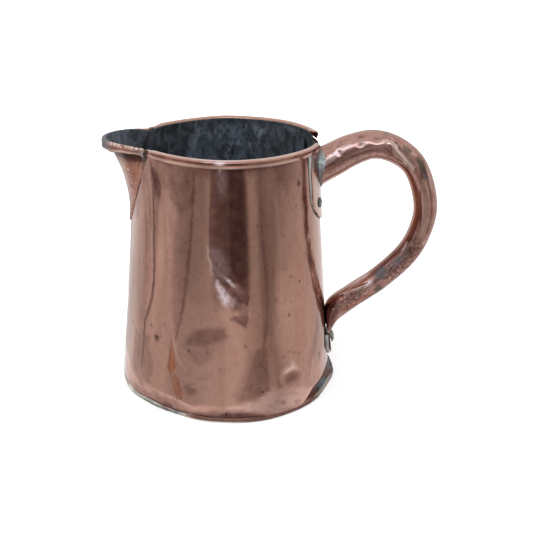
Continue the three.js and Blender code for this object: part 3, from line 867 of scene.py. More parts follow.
def rolled_away(points):
    """Where the roll is missing: behind the spout, at the handle, and at its torn back end."""
    azimuth, radius, height = polar(points)
    on_roll = (radius > wall_radius(np.minimum(height, ROLL_HEIGHT)) + 0.1) | (height > ROLL_HEIGHT)
    at_spout = between(azimuth, SPOUT_BACK_ROOT, SPOUT_FRONT_ROOT)
    at_handle = between(azimuth, RIM_GAP_FRONT, RIM_GAP_BACK) & (height > RIM_HEIGHT - RIM_GAP_DROP)
    torn = between(azimuth, RIM_GAP_BACK - 1.0, RIM_GAP_BACK + 4.0) & on_roll
    torn &= (radius < MOUTH_RADIUS + 2.2) & (height < ROLL_HEIGHT + 1.0) & (height > ROLL_HEIGHT - 0.2)
    return (on_roll & at_spout) | at_handle | torn


body = turned("body_sheet", body_profile(), BODY_COLUMNS)
reshape(body, gathered)
drop_faces(body, rolled_away)
reshape(body, dented)
reshape(body, tapered_rim)
wall_facing_out(body)
body.vertex_groups.new(name="shell")
modified(body, 'SOLIDIFY', thickness=WALL * MM, offset=-1.0, shell_vertex_group="shell")
mouth_levels = np.linspace(SPOUT_KEEL_START + 4.0, RIM_HEIGHT + 5.0, 24)
mouth_side = [(wall_radius(level) * math.sin(spout_channel(min(level, SPOUT_LIP)) - 0.01), level)
              for level in mouth_levels]
mouth_outline = mouth_side + [(-across, level) for across, level in reversed(mouth_side)]
cut(body, block("mouth_cutter", mouth_outline, 30.0, 100.0, SPOUT_AXIS))


def lining_of(piece):
    """Where the sheet is tinned: its inner face, up to the rolled rim."""
    points = points_of(piece)
    azimuth, radius, height = polar(points)
    ground = dented(np.column_stack([
        wall_radius(height) * np.cos(np.radians(azimuth)),
        wall_radius(height) * np.sin(np.radians(azimuth)), height]))
    skin = np.hypot(ground[:, 0], ground[:, 1])
    return (radius < skin - WALL * 0.5) & (height < ROLL_HEIGHT + 0.9)


inside = lining_of(body)
painted(body, "lining", inside.astype(float))


def lapped(points):
    """Thickens the inner face where the side seam laps."""
    azimuth, radius, height = polar(points)
    lap = plateau(azimuth, LAP_START, LAP_START + 1.2, LAP_END - 1.5, LAP_END + 1.5)
    lap *= inside * falling(height, ROLL_HEIGHT - 3.0, ROLL_HEIGHT - 0.5)
    return around_jug(points, (radius - LAP_RISE * lap) / radius)


reshape(body, lapped)
body_points = points_of(body)
azimuth, radius, height = polar(body_points)

# What is painted on the wall, in the same way as its forms: tarnish, stains and crease lines, and with
# them painted reflections in the dark bands, painted shade under the rim and in the long crease, and
# painted highlights
WALL_PAINT = {
    "brown": [
        # The dark band down the front: dark tarnish that also stands in for a painted reflection, with the
        # dark painted reflections between the highlights of its crinkled foot
        ("area", 0.76, 0.8, [(-95.8, 176), (-96.6, 132), (-96.5, 114.8), (-94.8, 110.9), (-94.2, 106.3),
            (-93.4, 100.3), (-92, 98), (-89.4, 97.7), (-87.2, 93), (-84.5, 88.2), (-82.4, 84), (-77.6, 83),
            (-74.8, 85.3), (-74.4, 88), (-75.2, 92.5), (-75, 97), (-74.6, 111), (-75.5, 140),
            (-76.5, 176)]),
        ("area", 0.94, 3.0, [(-87, 176), (-87, 120), (-86, 104), (-82, 96), (-80, 90), (-75, 90),
            (-74.6, 111), (-75.5, 140), (-76.5, 176)]),
        ("area", 0.85, 0.7, [(-89, 97.5), (-86, 97), (-83, 93.5), (-79, 87), (-82.4, 84.5), (-84.5, 88.2),
            (-87.2, 93)]),
        ("area", 0.6, 0.6, [(-94.2, 101), (-93.1, 99.7), (-92.6, 96.3), (-93.9, 96.9)]),
        ("area", 0.4, 0.8, [(-80, 80), (-80.5, 75), (-75, 73), (-75, 85)]),
        ("area", 0.68, 0.7, [(-84.1, 73.2), (-82.5, 74.5), (-80, 75), (-75.2, 76), (-75, 72),
            (-76.6, 66.3), (-79.8, 69.4)]),
        ("line", 0.9, 1.0, [(-84.5, 73.2), (-81, 73.4)]),
        ("area", 0.6, 2.5, [(-109, 53), (-108, 59), (-104, 64), (-96, 67), (-88, 66.5), (-87, 60),
            (-92, 56), (-100, 52)]),
        ("area", 0.3, 3.0, [(-109, 51), (-100, 52), (-94, 52), (-95, 44), (-101, 40), (-107, 44)]),
        # Dark bands further round: tarnish and, in the same places, painted reflections
        ("area", 0.33, 2.5, [(-115, 172), (-117, 145), (-118, 118), (-118, 92), (-117, 72), (-115.5, 57),
            (-113, 62), (-110, 85), (-107.5, 118), (-105.5, 150), (-104, 172)]),
        ("line", 0.6, 1.8, [(-105.5, 172), (-106, 150), (-107.5, 120), (-109, 100), (-110.5, 85),
            (-112.5, 70), (-115, 54)]),
        ("area", 0.15, 4.0, [(-104, 172), (-107, 120), (-109, 90), (-104, 80), (-98, 112), (-98, 172)]),
        ("area", 0.24, 1.8, [(-69, 172), (-68.5, 130), (-67, 95), (-68, 60), (-61, 58), (-60, 90),
            (-57, 130), (-57, 172)]),
        ("line", 0.5, 1.8, [(-67, 172), (-67, 130), (-65, 105), (-64, 85), (-65.5, 62), (-68, 46)]),
        ("area", 0.5, 2.2, [(-71.4, 50), (-65.5, 50), (-64.5, 40), (-63.6, 29.6), (-64.6, 17.6),
            (-72.4, 14.6), (-82, 14.2), (-79, 23.8), (-75.4, 36.2)]),
        ("area", 0.3, 4.0, [(-74.6, 50.5), (-76.4, 40.1), (-80.1, 29.8), (-84, 18), (-76, 14), (-66, 20),
            (-64, 32), (-67, 50)]),
        ("line", 0.62, 1.4, [(-67, 44), (-69, 38), (-66, 34), (-70, 29), (-75, 24), (-72, 20)]),
        ("area", 0.35, 3.0, [(-146, 50), (-132, 52), (-130, 30), (-132, 16), (-140, 14), (-146, 20)]),
        ("area", 0.9, 0.8, [(-140, 170), (-137.5, 167.6), (-131.6, 163.6), (-127.2, 155), (-127.2, 149.3),
            (-130.2, 146.6), (-133, 152.5), (-136.6, 160.8)]),
        # Painted shade in the long crease on the left, over its tarnish
        ("line", 0.95, 1.2, [(-135, 150), (-132.8, 138), (-132, 122), (-131.5, 104), (-131.2, 92),
            (-132.5, 80), (-135, 69), (-138, 60), (-138.3, 48), (-138.6, 33), (-140, 22)]),
        ("line", 0.35, 0.6, [(-142.5, 167), (-141.5, 158), (-141, 150), (-139, 120), (-137, 96)]),
        ("area", 0.4, 2.0, [(-147, 42), (-144, 44), (-142, 34), (-140, 20), (-134, 14), (-140, 15),
            (-147, 20)]),
        ("line", 0.4, 0.7, [(-144, 52), (-144, 36), (-143, 24), (-140, 17), (-135, 13), (-130, 15)]),
        ("area", 0.2, 2.5, [(-149, 130), (-141, 134), (-136, 92), (-138, 60), (-147, 56)]),
        ("area", 0.4, 1.6, [(-152, 4), (-148, 8), (-136, 9), (-122, 11), (-114, 12), (-105, 8), (-100, 4),
            (-120, 4)]),
        ("spots", 0.6, (3.4, 2.0), [(-145, 7.6), (-126.5, 8.0)]),
        ("area", 0.35, 1.6, [(-162, 4), (-146.5, 9), (-139.8, 9.5), (-136, 4)]),
        ("line", 0.95, 0.9, [(-156, 2.6), (-142, 3.0), (-133, 3.0), (-127, 3.4), (-122, 4.6), (-116, 4.2),
            (-110, 3.4), (-102, 3.2)]),
        ("area", 0.9, 1.0, [(-125, 1), (-123, 6.2), (-119, 6.8), (-114, 5.0), (-106, 3.6), (-106, 1)]),
        ("line", 0.5, 0.9, [(-142, 12), (-136, 11), (-129, 11.4), (-124, 13)]),
        ("area", 0.95, 1.2, [(-107, 1), (-104, 3.4), (-98, 4.6), (-95.4, 5.0), (-91, 5.8), (-87, 6.8),
            (-80, 7.2), (-75, 5.4), (-68.6, 3.4), (-62, 1)]),
        ("area", 0.3, 2.5, [(-96, 6), (-90, 9), (-84, 9), (-78, 7), (-70, 4), (-96, 3)]),
        ("area", 0.28, 2.5, [(-24, 60), (-30, 45), (-36, 34), (-36, 18), (-30, 30), (-22, 48)]),
        ("line", 0.5, 1.0, [(-56, 41), (-50, 42), (-44, 38)]),
        ("spots", 0.75, (6.2, 3.9), [(-50.6, 22.4)]),
        ("line", 0.3, 1.6, [(-59.3, 23.3), (-55.2, 14.9), (-47.2, 10.4), (-38.4, 9.3)]),
        ("line", 0.35, 0.7, [(-34.6, 34), (-34.6, 20), (-34.2, 6)]),
        ("line", 0.45, 1.8, [(146, 150), (148, 110), (146, 70), (150, 30)]),
        ("area", 0.35, 5.0, [(60, 172), (80, 172), (84, 90), (70, 60), (62, 110)]),
        ("area", 0.35, 3.0, [(110, 160), (122, 150), (118, 60), (108, 30), (104, 100)]),
    ],
    "stain_and_shade": [
        # Painted shade in a thin band just under the rim
        ("line", 0.5, 1.5, [(-132, 170.6), (-110, 170.6), (-90, 170.4), (-70, 170.6), (-40, 170.6)]),
        ("spots", 0.8, (1.9, 1.7), [(-127.5, 52.5), (-39.3, 155.5)]),
        ("spots", 0.6, (1.2, 1.0), [(-132, 59.5), (-107, 49), (-48.5, 95.5), (-50.5, 69), (-77, 54)]),
        ("spots", 0.5, (0.9, 0.9), [(-47, 2.5), (-59, 82), (-49, 78), (-97, 50), (-42.6, 142), (-73, 8)]),
        ("spots", 0.55, (2.2, 2.2), [(-151, 53)]),
        ("spots", 0.6, (3.6, 4.0), [(-106, 21)]),
        ("spots", 0.6, (1.6, 1.6), [(40, 120), (88, 64), (124, 84), (170, 130), (152, 88)]),
        ("area", 0.45, 1.6, [(-116.8, 46), (-118.6, 33), (-116, 31), (-115.2, 38)]),
        ("area", 0.6, 0.9, [(-139, 166), (-134, 161), (-131.6, 153), (-132, 147), (-136, 152)]),
        ("area", 0.8, 0.6, [(-77, 85.6), (-75.4, 84.7), (-75.4, 81.3), (-77, 82.2)]),
        # Painted shade under the rim on the two shaded sides
        ("area", 0.25, 3.0, [(-58, 176), (-57, 160), (-50, 152), (-40, 158), (-38, 176)]),
        ("area", 0.45, 3.0, [(-124, 176), (-121, 150), (-113, 138), (-105, 150), (-102, 176)]),
        ("area", 0.55, 1.0, [(-106, 1), (-104, 4), (-90, 5), (-78, 4.6), (-68, 3), (-64, 1)]),
        ("spots", 0.7, (1.8, 2.2), [(-24.9, 26.9)]),
    ],
    "warm": [
        ("area", 0.8, 0.8, [(-116.5, 54.6), (-118.3, 46.9), (-119.8, 33.3), (-117.8, 29.6), (-115.4, 31.8),
            (-114.3, 36.5), (-115.7, 46.2)]),
        ("area", 0.7, 1.0, [(-116.6, 30), (-113.6, 29.5), (-109.9, 18.8), (-110.4, 12.7), (-113.8, 13.2),
            (-115.8, 21.4)]),
        ("line", 0.4, 2.2, [(-106, 170.5), (-101, 168), (-97.5, 169.5)]),
        # An orange painted reflection of the handle's highlight, along the handle's mirrored line
        ("line", 1.0, 1.0, [(-28.2, 94), (-24.8, 84), (-22, 76.5), (-17.4, 66.5)]),
        ("line", 0.3, 0.7, [(-38, 130), (-38.5, 90), (-39, 40)]),
        ("area", 0.12, 4.0, [(-47, 110), (-40, 110), (-38, 70), (-41, 30), (-46, 34)]),
        ("area", 0.4, 8.0, [(150, 160), (170, 120), (160, 50), (140, 60)]),
    ],
    "pale": [
        # Lighter copper; the marks on the dent low in front, beside the dark band, on the crinkle and along
        # the handle's mirrored line are painted highlights and reflections
        ("area", 0.4, 3.0, [(-165, 128), (-152, 128), (-149, 80), (-149, 20), (-165, 20)]),
        ("line", 0.5, 0.8, [(-150, 132), (-149.5, 110), (-148.5, 84)]),
        ("line", 0.4, 0.8, [(-116.4, 56), (-114.9, 47), (-111.6, 38.8), (-107.3, 34)]),
        ("area", 0.6, 0.9, [(-57, 29), (-50.5, 35.6), (-43, 24.8), (-48.7, 28.3)]),
        ("line", 0.5, 0.8, [(-32, 32), (-34, 10)]),
        ("line", 0.2, 2.0, [(-126, 15), (-114, 13), (-108, 9), (-102, 7)]),
        ("line", 0.55, 1.1, [(-97.2, 122), (-97, 115.4), (-95.6, 110.9), (-95.3, 102.9)]),
        ("line", 0.6, 0.5, [(-27.5, 91), (-24.6, 83), (-21.8, 76), (-18, 68)]),
        ("line", 0.4, 0.6, [(-30.4, 110), (-29.4, 102), (-28, 95)]),
        ("area", 0.4, 1.0, [(-91.5, 89), (-89, 91), (-86.4, 86), (-85, 83), (-87.5, 82), (-89.5, 84)]),
        ("area", 0.2, 2.5, [(-25, 130), (-25, 100), (-14, 75), (-4, 58), (8, 60), (10, 130)]),
    ],
    # A painted highlight along the bend of the beaten foot
    "pink_highlight": [
        ("area", 0.75, 1.2, [(-92, 8), (-86, 10.5), (-78, 12), (-71, 14), (-62, 19), (-52, 15), (-42, 12),
            (-34, 6), (-36, 1), (-50, 1), (-62, 2.5), (-70, 5), (-78, 8), (-86, 8)]),
    ],
    "lilac": [
        # Painted highlights and light painted reflections: on the crinkle, below the rim in front and along
        # the handle's mirrored line
        ("area", 1.0, 1.0, [(-92.6, 100.5), (-91.4, 99), (-89.6, 96), (-87.9, 93.6), (-86, 90.4),
            (-84.8, 87.4), (-85.4, 84), (-87.8, 84), (-89.6, 87), (-91.2, 91), (-92.6, 95.6)]),
        ("area", 0.4, 2.4, [(-92.6, 98), (-89, 95), (-85, 90), (-81, 84), (-84, 81), (-88, 82),
            (-91, 88)]),
        ("area", 1.0, 0.8, [(-87.8, 101), (-86.6, 101.6), (-84.5, 99.3), (-82.4, 95), (-84.2, 96),
            (-86.4, 98.4)]),
        ("area", 0.2, 3.2, [(-96.5, 122), (-95.9, 114.1), (-94.8, 108.9), (-94.5, 103.6), (-93.1, 98.3),
            (-90.4, 97), (-86.7, 101.1), (-85.6, 106.4), (-87.2, 114.3), (-90.4, 120.9)]),
        ("line", 0.6, 0.5, [(-91.6, 109.6), (-90.2, 108)]),
        ("spots", 0.2, (3.2, 9.0), [(-89.5, 163)]),
        ("spots", 0.7, (0.9, 2.6), [(-90.4, 170.8)]),
        ("spots", 0.8, (1.1, 3.4), [(-31, 117)]),
        ("line", 0.5, 0.6, [(-27, 92), (-24.2, 84), (-21.5, 77), (-17.5, 68)]),
    ],
}

# Burnt spots and the dark veins of the beaten foot, over everything else
DARK_SPOTS = [
    ("spots", 0.5, (1.9, 1.6), [(-127.5, 52.5), (-39.3, 155.5)]),
    ("spots", 0.4, (1.1, 0.9), [(-132, 59.5), (-50.5, 69)]),
    ("line", 0.4, 0.7, [(-134, 3.5), (-118, 3.9), (-104, 3.6)]),
    ("spots", 0.5, (1.6, 1.3), [(-57, 7.5)]),
    ("spots", 0.4, (0.9, 0.7), [(-48, 6), (-50, 5.5), (-44, 7)]),
    ("line", 0.25, 1.0, [(-67, 6), (-63, 8), (-58, 11.5)]),
    ("line", 0.2, 1.2, [(-75, 9), (-73, 12), (-69, 14.5)]),
    ("line", 0.15, 1.4, [(-60, 14), (-53, 13), (-47, 9)]),
]
roll_out = radius - ROLL_RADIUS
roll_up = height - ROLL_HEIGHT
roll_turn = np.degrees(np.arctan2(roll_up, roll_out))
on_roll = (np.hypot(roll_out, roll_up) < 3.6) & ((radius > MOUTH_RADIUS + 0.6) | (height > ROLL_HEIGHT + 0.6))


def roll_band(low, high, soft=8.0):
    """A stripe along the rolled rim, between two turns round its section."""
    return plateau(roll_turn, low - soft, low + soft, high - soft, high + soft) * on_roll


# Painted shade under the rolled rim, deeper and reaching further down on the shaded sides
under_rim_shade = smooth(height, 161.0, 169.0) * ~on_roll * ~inside
shaded_side = np.maximum(falling(azimuth, -110.0, -100.0), smooth(azimuth, -66.0, -54.0))
shaded_side *= plateau(azimuth, -168.0, -156.0, -32.0, -28.0) * ~inside * ~on_roll
under_rim_shade = np.maximum(under_rim_shade, 0.95 * shaded_side * smooth(height, 104.0, 174.0))
rim_unevenness = 0.75 + 0.25 * wavy(body_points, 22.0, 104)
to_side = plateau(azimuth, -84.0, -66.0, -56.0, -44.0)
glint = bell(azimuth, HIGHLIGHT, 2.6)
from_spout = smooth(azimuth, -142.0, -128.0)
glow = bell(azimuth, HIGHLIGHT, 11.0)
# The rolled rim's light and dark stripes are painted reflections, with painted shade below the bead and under
# the rim, a painted highlight in front and a warm tone where the stripes are fainter
RIM_LIGHT_AND_SHADE = {
    "brown": np.maximum(roll_band(-8.0, 28.0, 7.0) * (0.95 - 0.6 * to_side), 0.95 * roll_band(-100.0, -58.0))
    + 0.62 * under_rim_shade * rim_unevenness,
    "pale": (0.85 * roll_band(50.0, 120.0) + 0.85 * roll_band(-54.0, -32.0, 5.0) * from_spout) * rim_unevenness,
    "lilac": np.maximum((0.15 + 0.5 * glow) * roll_band(52.0, 110.0), glint * roll_band(-8.0, 44.0)),
    "warm": 0.35 * roll_band(-30.0, 60.0) * (1.0 - rim_unevenness),
}
# The painted highlights are broken up where the wall is crinkled
crinkled = 0.5 + 0.5 * smooth(wavy(body_points, 3.0, 105), -0.45, 0.1)
for paint, marks in WALL_PAINT.items():
    strength = wall_marks(body_points, marks) * ~on_roll
    if paint == "lilac":
        strength *= crinkled
    painted(body, paint, np.maximum(strength, RIM_LIGHT_AND_SHADE.get(paint, 0.0)))
# Painted shade: a black oval inside near the handle, where a dark pocket shows beside light tin flakes
dark_pocket_shade = spot(azimuth, height, (26.0, 163.0, 3.4, 6.5, 0.0, 0.8)) * inside
flakes = spot(azimuth, height, (20.0, 166.0, 1.6, 6.0, -30.0, 0.2)) * inside
flakes = strongest(flakes, spot(azimuth, height, (15.0, 160.0, 2.0, 6.0, 0.0, 0.3)) * inside)
lap_band = between(azimuth, LAP_START, LAP_END) * inside * (0.6 + 0.4 * wavy(body_points, 14.0, 103))
rim_shade = smooth(height, ROLL_HEIGHT - 7.0, ROLL_HEIGHT - 1.0) * inside

# Dark and light places of the tin inside
GLOOM = [
    ("area", 0.86, 5.0, [(165, 178), (114, 178), (114, 168), (120, 150), (124, 110), (165, 110)]),
    ("area", 0.84, 3.5, [(66, 178), (66, 168), (68, 155), (68, 110), (10, 110), (10, 178)]),
]
SMEARS = [
    ("area", 0.5, 5.0, [(145, 176), (126, 176), (124, 158), (134, 150), (146, 156)]),
    ("area", 0.5, 6.0, [(112, 170), (98, 177), (74, 177), (68, 160), (76, 120), (104, 110), (114, 140)]),
    ("area", 0.5, 3.0, [(50, 176), (44, 176), (34, 158), (38, 140), (46, 150)]),
]
gloom = wall_marks(body_points, GLOOM, 2.0) * inside
smeared = wall_marks(body_points, SMEARS) * inside
painted(body, "bright", strongest(0.9 * flakes, smeared, 0.22 * lap_band))
painted(body, "black", strongest(dark_pocket_shade, 0.6 * rim_shade, gloom * (1.0 - 0.5 * smeared)))
from_axis = np.abs((azimuth - SPOUT_AXIS + 180.0) % 360.0 - 180.0)
mouth_edge = np.degrees(spout_channel(np.minimum(height, SPOUT_LIP)))
cut_edge = falling(from_axis - mouth_edge, 0.1, 0.7) * smooth(height, SPOUT_KEEL_START, 135.0)
spotted = wall_marks(body_points, DARK_SPOTS) * ~on_roll * ~inside
painted(body, "soot_and_shade", np.maximum(0.85 * cut_edge * (height < ROLL_HEIGHT + 0.5), spotted))
finished(body, body_copper, "body", 50.0)


# Base: a disc whose edge is turned up round the foot

def base_wobble(points):
    """Puts the base's edge out of round and wears its top down."""
    azimuth, radius, height = polar(points)
    outer = smooth(radius, 60.0, 76.0)
    push = 0.35 * wavy(points * [1.0, 1.0, 0.0], 38.0, 21) * outer
    push += 0.12 * wavy(points, 6.0, 24) * outer
    push -= base_dent(azimuth) * outer
    push -= 0.5 * smooth(height, 2.4, 3.6) * (1.0 + wavy(points, 18.0, 22)) * outer
    moved = around_jug(points, (radius + push) / np.maximum(radius, 0.001))
    top = smooth(height, 2.2, 3.4)
    moved[:, 2] += top * (0.3 * wavy(points * [1.0, 1.0, 0.0], 26.0, 23) + 0.2 * wavy(points, 7.0, 25))
    moved[:, 2] -= smooth(height, 1.2, 3.4) * outer * 1.5 * worn_low(azimuth)
    return moved


edge = BASE_RADIUS
edge_inside = BASE_RADIUS - BASE_EDGE_SHEET
disc_rings = (0.0, 30.0, 55.0, 70.0)
base = turned("base_disc", [(ring, 0.0) for ring in disc_rings] + [
    (76.0, 0.0), (edge_inside, 0.0), (edge - 0.3, 0.25), (edge, 0.8), (edge, 1.5), (edge, 2.2), (edge, 2.9),
    (edge - 0.2, 3.4), (edge - 0.5, BASE_EDGE), (edge - 0.8, 3.4), (edge_inside, 2.9), (edge_inside, 2.2),
    (edge_inside, 1.4), (edge - 1.2, BASE_THICKNESS), (75.0, BASE_THICKNESS)] + [
    (ring, BASE_THICKNESS) for ring in reversed(disc_rings)])
reshape(base, base_wobble)
base_points = points_of(base)
azimuth, radius, height = polar(base_points)
front = plateau(azimuth, -112.0, -102.0, 20.0, 40.0)
right = plateau(azimuth, -48.0, -42.0, 20.0, 40.0)
left = smooth(-azimuth, 106.0, 114.0)
light_bottom = strongest(falling(azimuth, -90.0, -74.0), smooth(azimuth, 25.0, 45.0))
light_right = plateau(azimuth, -44.0, -38.0, -16.0, -10.0)
worn_edge = uneven(base_points, 12.0, 26)
broken = smooth(wavy(base_points, 7.0, 27), -0.3, 0.2)
low_line = falling(height, 1.1, 1.5)
top_line = smooth(height, 2.4 - 1.0 * left, 3.0 - 1.1 * left)
# A painted highlight along the top of the edge on the right
right_top_highlight = smooth(height, 2.8, 3.3) * light_right
between_lines = bell(height, 1.5, 0.13)
not_lit = 1.0 - low_line * light_bottom
within = (height > 0.9) & (radius < 75.5)
notch = spot(azimuth, height, (-121.5, 2.2, 3.4, 2.2, 0.0, 0.3))
blob = spot(azimuth, height, (-115.5, 2.2, 2.8, 2.4, 0.0, 0.3))
worn_band = left * (0.85 - 0.5 * between_lines * (0.4 + 0.6 * broken)) * (1.0 - 0.8 * notch)
low_front = 0.75 * low_line * falling(azimuth, -94.0, -74.0)
worn_behind = 0.5 * (1.0 - front) * top_line * worn_edge
dirt = (0.35 * front + 0.3 * right * top_line * worn_edge) * not_lit
# The light line along the top of the edge on the right and the pale line along its bottom in front are
# painted highlights
BASE_PAINT = {
    "brown": 0.8 * front * (1.0 - 0.8 * low_line * light_bottom) * (1.0 - 0.25 * worn_edge),
    "pale": strongest(0.7 * (1.0 - left) * low_line * light_bottom, worn_behind),
    "cream": strongest(worn_band, low_front, 0.75 * right_top_highlight) * (1.0 - within),
    "grey": 0.5 * left * between_lines * (1.0 - within),
    "stain_and_shade": 0.6 * notch * (1.0 - within),
    "lining": strongest(1.0 * within, 0.95 * blob),
    "bright": strongest(0.2 * within, blob),
    "olive": strongest(0.5 * left * (1.0 - broken) * top_line, dirt),
}
for paint, strength in BASE_PAINT.items():
    painted(base, paint, strength)
finished(base, base_copper, "base_plate", 40.0, lean=False)


def base_solder_shape(points):
    """Makes the filling lumpy, and lets it follow the worn edge outside and the beaten foot inside."""
    azimuth, radius, height = polar(points)
    top = smooth(height, 1.6, 2.6)
    moved = points.copy()
    moved[:, 2] += top * (0.45 * wavy(points * [1.0, 1.0, 0.0], 9.0, 31) + 0.3 * wavy(points, 4.0, 32))
    moved[:, 2] += top * 1.0 * spot(azimuth, height, (-38.0, 2.5, 12.0, 9.0, 0.0, 0.2))
    moved[:, 2] += top * 0.8 * spot(azimuth, height, (-110.0, 2.5, 7.0, 9.0, 0.0, 0.2))
    inner = np.clip((FILLING_RADIUS - radius) / (FILLING_RADIUS - foot_at_seam), 0.0, 1.2)
    moved[:, 2] -= (moved[:, 2] - FILLING_FOOT) * 0.8 * spread_there(azimuth) * np.minimum(2.2 * inner, 1.0)
    moved[:, 2] -= smooth(height, 1.2, 3.4) * 1.4 * worn_low(azimuth) * np.maximum(1.0 - 2.2 * inner, 0.0)
    scale = (radius - base_dent(azimuth) * np.maximum(1.0 - inner, 0.0)) / radius
    moved = around_jug(moved, scale)
    moved[:, 0] += inner * FOOT_OFFSET
    return moved


foot_at_seam = wall_radius(2.5)
base_solder = turned("base_seam_solder_bead", [
    (foot_at_seam - 0.2, 1.2), (foot_at_seam + 0.6, FILLING_FOOT), (77.2, FILLING_FOOT), (77.9, 1.5),
    (FILLING_RADIUS, 2.6), (77.8, 3.3), (77.3, 3.6), (76.7, 3.8), (foot_at_seam + 0.9, 4.1),
    (foot_at_seam + 0.45, 4.7), (foot_at_seam - 0.1, 5.4), (foot_at_seam - 0.2, 1.2)])
reshape(base_solder, base_solder_shape)
solder_points = points_of(base_solder)
azimuth, radius, height = polar(solder_points)
blotchy = uneven(solder_points, 8.0, 33)
left = smooth(-azimuth, 106.0, 116.0)
painted(base_solder, "bright", 0.5 * left * blotchy)
bluish = spot(azimuth, height, (-27.0, 3.0, 8.5, 12.0, 0.0, 0.5))
pinkish = plateau(azimuth, -72.0, -64.0, -46.0, -40.0)
painted(base_solder, "copper", pinkish * (0.7 + 0.3 * blotchy))
dark = plateau(azimuth, -104.0, -96.0, 5.0, 20.0) * (1.0 - bluish)
behind = smooth(azimuth, 8.0, 26.0)
greener = 1.0 - 0.6 * smooth(azimuth, -16.0, -6.0)
rusty = dark * greener * (1.0 - 0.15 * blotchy)
rusty = strongest(rusty, strongest(0.6 * left, behind) * (1.0 - 0.6 * blotchy))
painted(base_solder, "brown", rusty * (1.0 - pinkish))
finished(base_solder, seam_solder, "base_seam_solder", 60.0, lean=False)


# Spout: a beak of bent sheet with its lip folded over

def spout_path(angle, travel):
    """Middle of the sheet as radius and height: up the beak, over the fold and down outside it."""
    def bulge(level):
        share = np.clip((level - SPOUT_KEEL_START) / SPOUT_KEEL_RISE, 0.0, 1.0)
        across = np.clip(np.abs(angle) / spout_channel(level), 0.0, 1.0)
        return SPOUT_REACH * share ** SPOUT_KEEL_POWER * np.cos(across * math.pi / 2.0)

    def middle(level):
        return wall_radius(level) + SEAT + SPOUT_SHEET / 2.0 + bulge(level)

    level = SPOUT_FOOT + (SPOUT_LIP - SPOUT_FOOT) * np.minimum(1.0, travel / SPOUT_FOLD_START)
    top = np.full_like(level, SPOUT_LIP)
    heading = np.arctan2(0.5, middle(top) - middle(top - 0.5))
    arc = (heading + math.pi / 2.0) * SPOUT_FOLD_RADIUS
    run = np.maximum(0.0, travel - SPOUT_FOLD_START) / (1.0 - SPOUT_FOLD_START) * (arc + SPOUT_FOLD_DEPTH)
    pointer = heading + math.pi / 2.0 - np.minimum(run, arc) / SPOUT_FOLD_RADIUS
    over_radius = middle(top) + SPOUT_FOLD_RADIUS * (np.sin(heading) + np.cos(pointer))
    over_height = SPOUT_LIP - SPOUT_FOLD_RADIUS * (np.cos(heading) - np.sin(pointer))
    over_height -= np.maximum(0.0, run - arc)
    folded = travel > SPOUT_FOLD_START
    return np.where(folded, over_radius, middle(level)), np.where(folded, over_height, level)


def spout_shape(points):
    """Bends a flat grid, 2 mm across and 1 mm long, into the spout's sheet."""
    across = points[:, 0]
    travel = points[:, 1] + 0.5
    level = SPOUT_FOOT + (SPOUT_LIP - SPOUT_FOOT) * np.minimum(1.0, travel / SPOUT_FOLD_START)
    angle = across * spout_seam(level)
    radius, height = spout_path(angle, travel)
    lift = SPOUT_LIP_RISE * (1.0 - across ** 4) * smooth(height, SPOUT_KEEL_START, SPOUT_LIP)
    azimuth = math.radians(SPOUT_AXIS) - angle
    flat = np.column_stack([radius * np.cos(azimuth), radius * np.sin(azimuth), height + lift])
    lip = smooth(travel, SPOUT_FOLD_START - 0.1, SPOUT_FOLD_START + 0.1)
    hollow = smooth(travel, 0.15, 0.5) * (1.0 - np.abs(across) ** 3)
    push = 0.35 * wavy(flat, 16.0, 41) * hollow + 0.25 * wavy(flat, 6.0, 42) * lip
    flat[:, 0] += push * np.cos(azimuth)
    flat[:, 1] += push * np.sin(azimuth)
    hem = smooth(travel, 0.84, 1.0)
    near_tip = bell(across, -0.3, 0.45)
    droop = bell(across, -0.42, 0.07)
    flat[:, 2] -= (1.5 * near_tip + droop + 0.5 * wavy(flat * [1.0, 1.0, 0.0], 7.0, 43)) * hem
    return flat


start_fresh()
bpy.ops.mesh.primitive_grid_add(x_subdivisions=72, y_subdivisions=84, size=MM)
spout = named("spout_beak")
reshape(spout, lambda points: points * [2.0, 1.0, 1.0])
travel_share = points_of(spout)[:, 1] + 0.5
across_share = points_of(spout)[:, 0]
reshape(spout, spout_shape)
painted(spout, "travel", travel_share)
painted(spout, "across", across_share / 2.0 + 0.5)
facing_out(spout)
spout.vertex_groups.new(name="inner")
modified(spout, 'SOLIDIFY', thickness=SPOUT_SHEET * MM, offset=0.0, shell_vertex_group="inner")
travel_all = kept(spout, "travel")
across_all = kept(spout, "across") * 2.0 - 1.0
azimuth, radius, height = polar(points_of(spout))
middle_radius, _ = spout_path(math.radians(SPOUT_AXIS) - np.radians(azimuth % 360.0), travel_all)
outer_face = falling(travel_all, SPOUT_FOLD_START - 0.08, SPOUT_FOLD_START - 0.02)
outer_face = (radius > middle_radius) * outer_face


def feathered(points):
    """Hammers the sheet's outer face down to the wall along its two side edges."""
    thinned = 0.75 * SPOUT_SHEET * smooth(np.abs(across_all), 0.86, 0.99) * outer_face
    return around_jug(points, (radius - thinned) / radius)


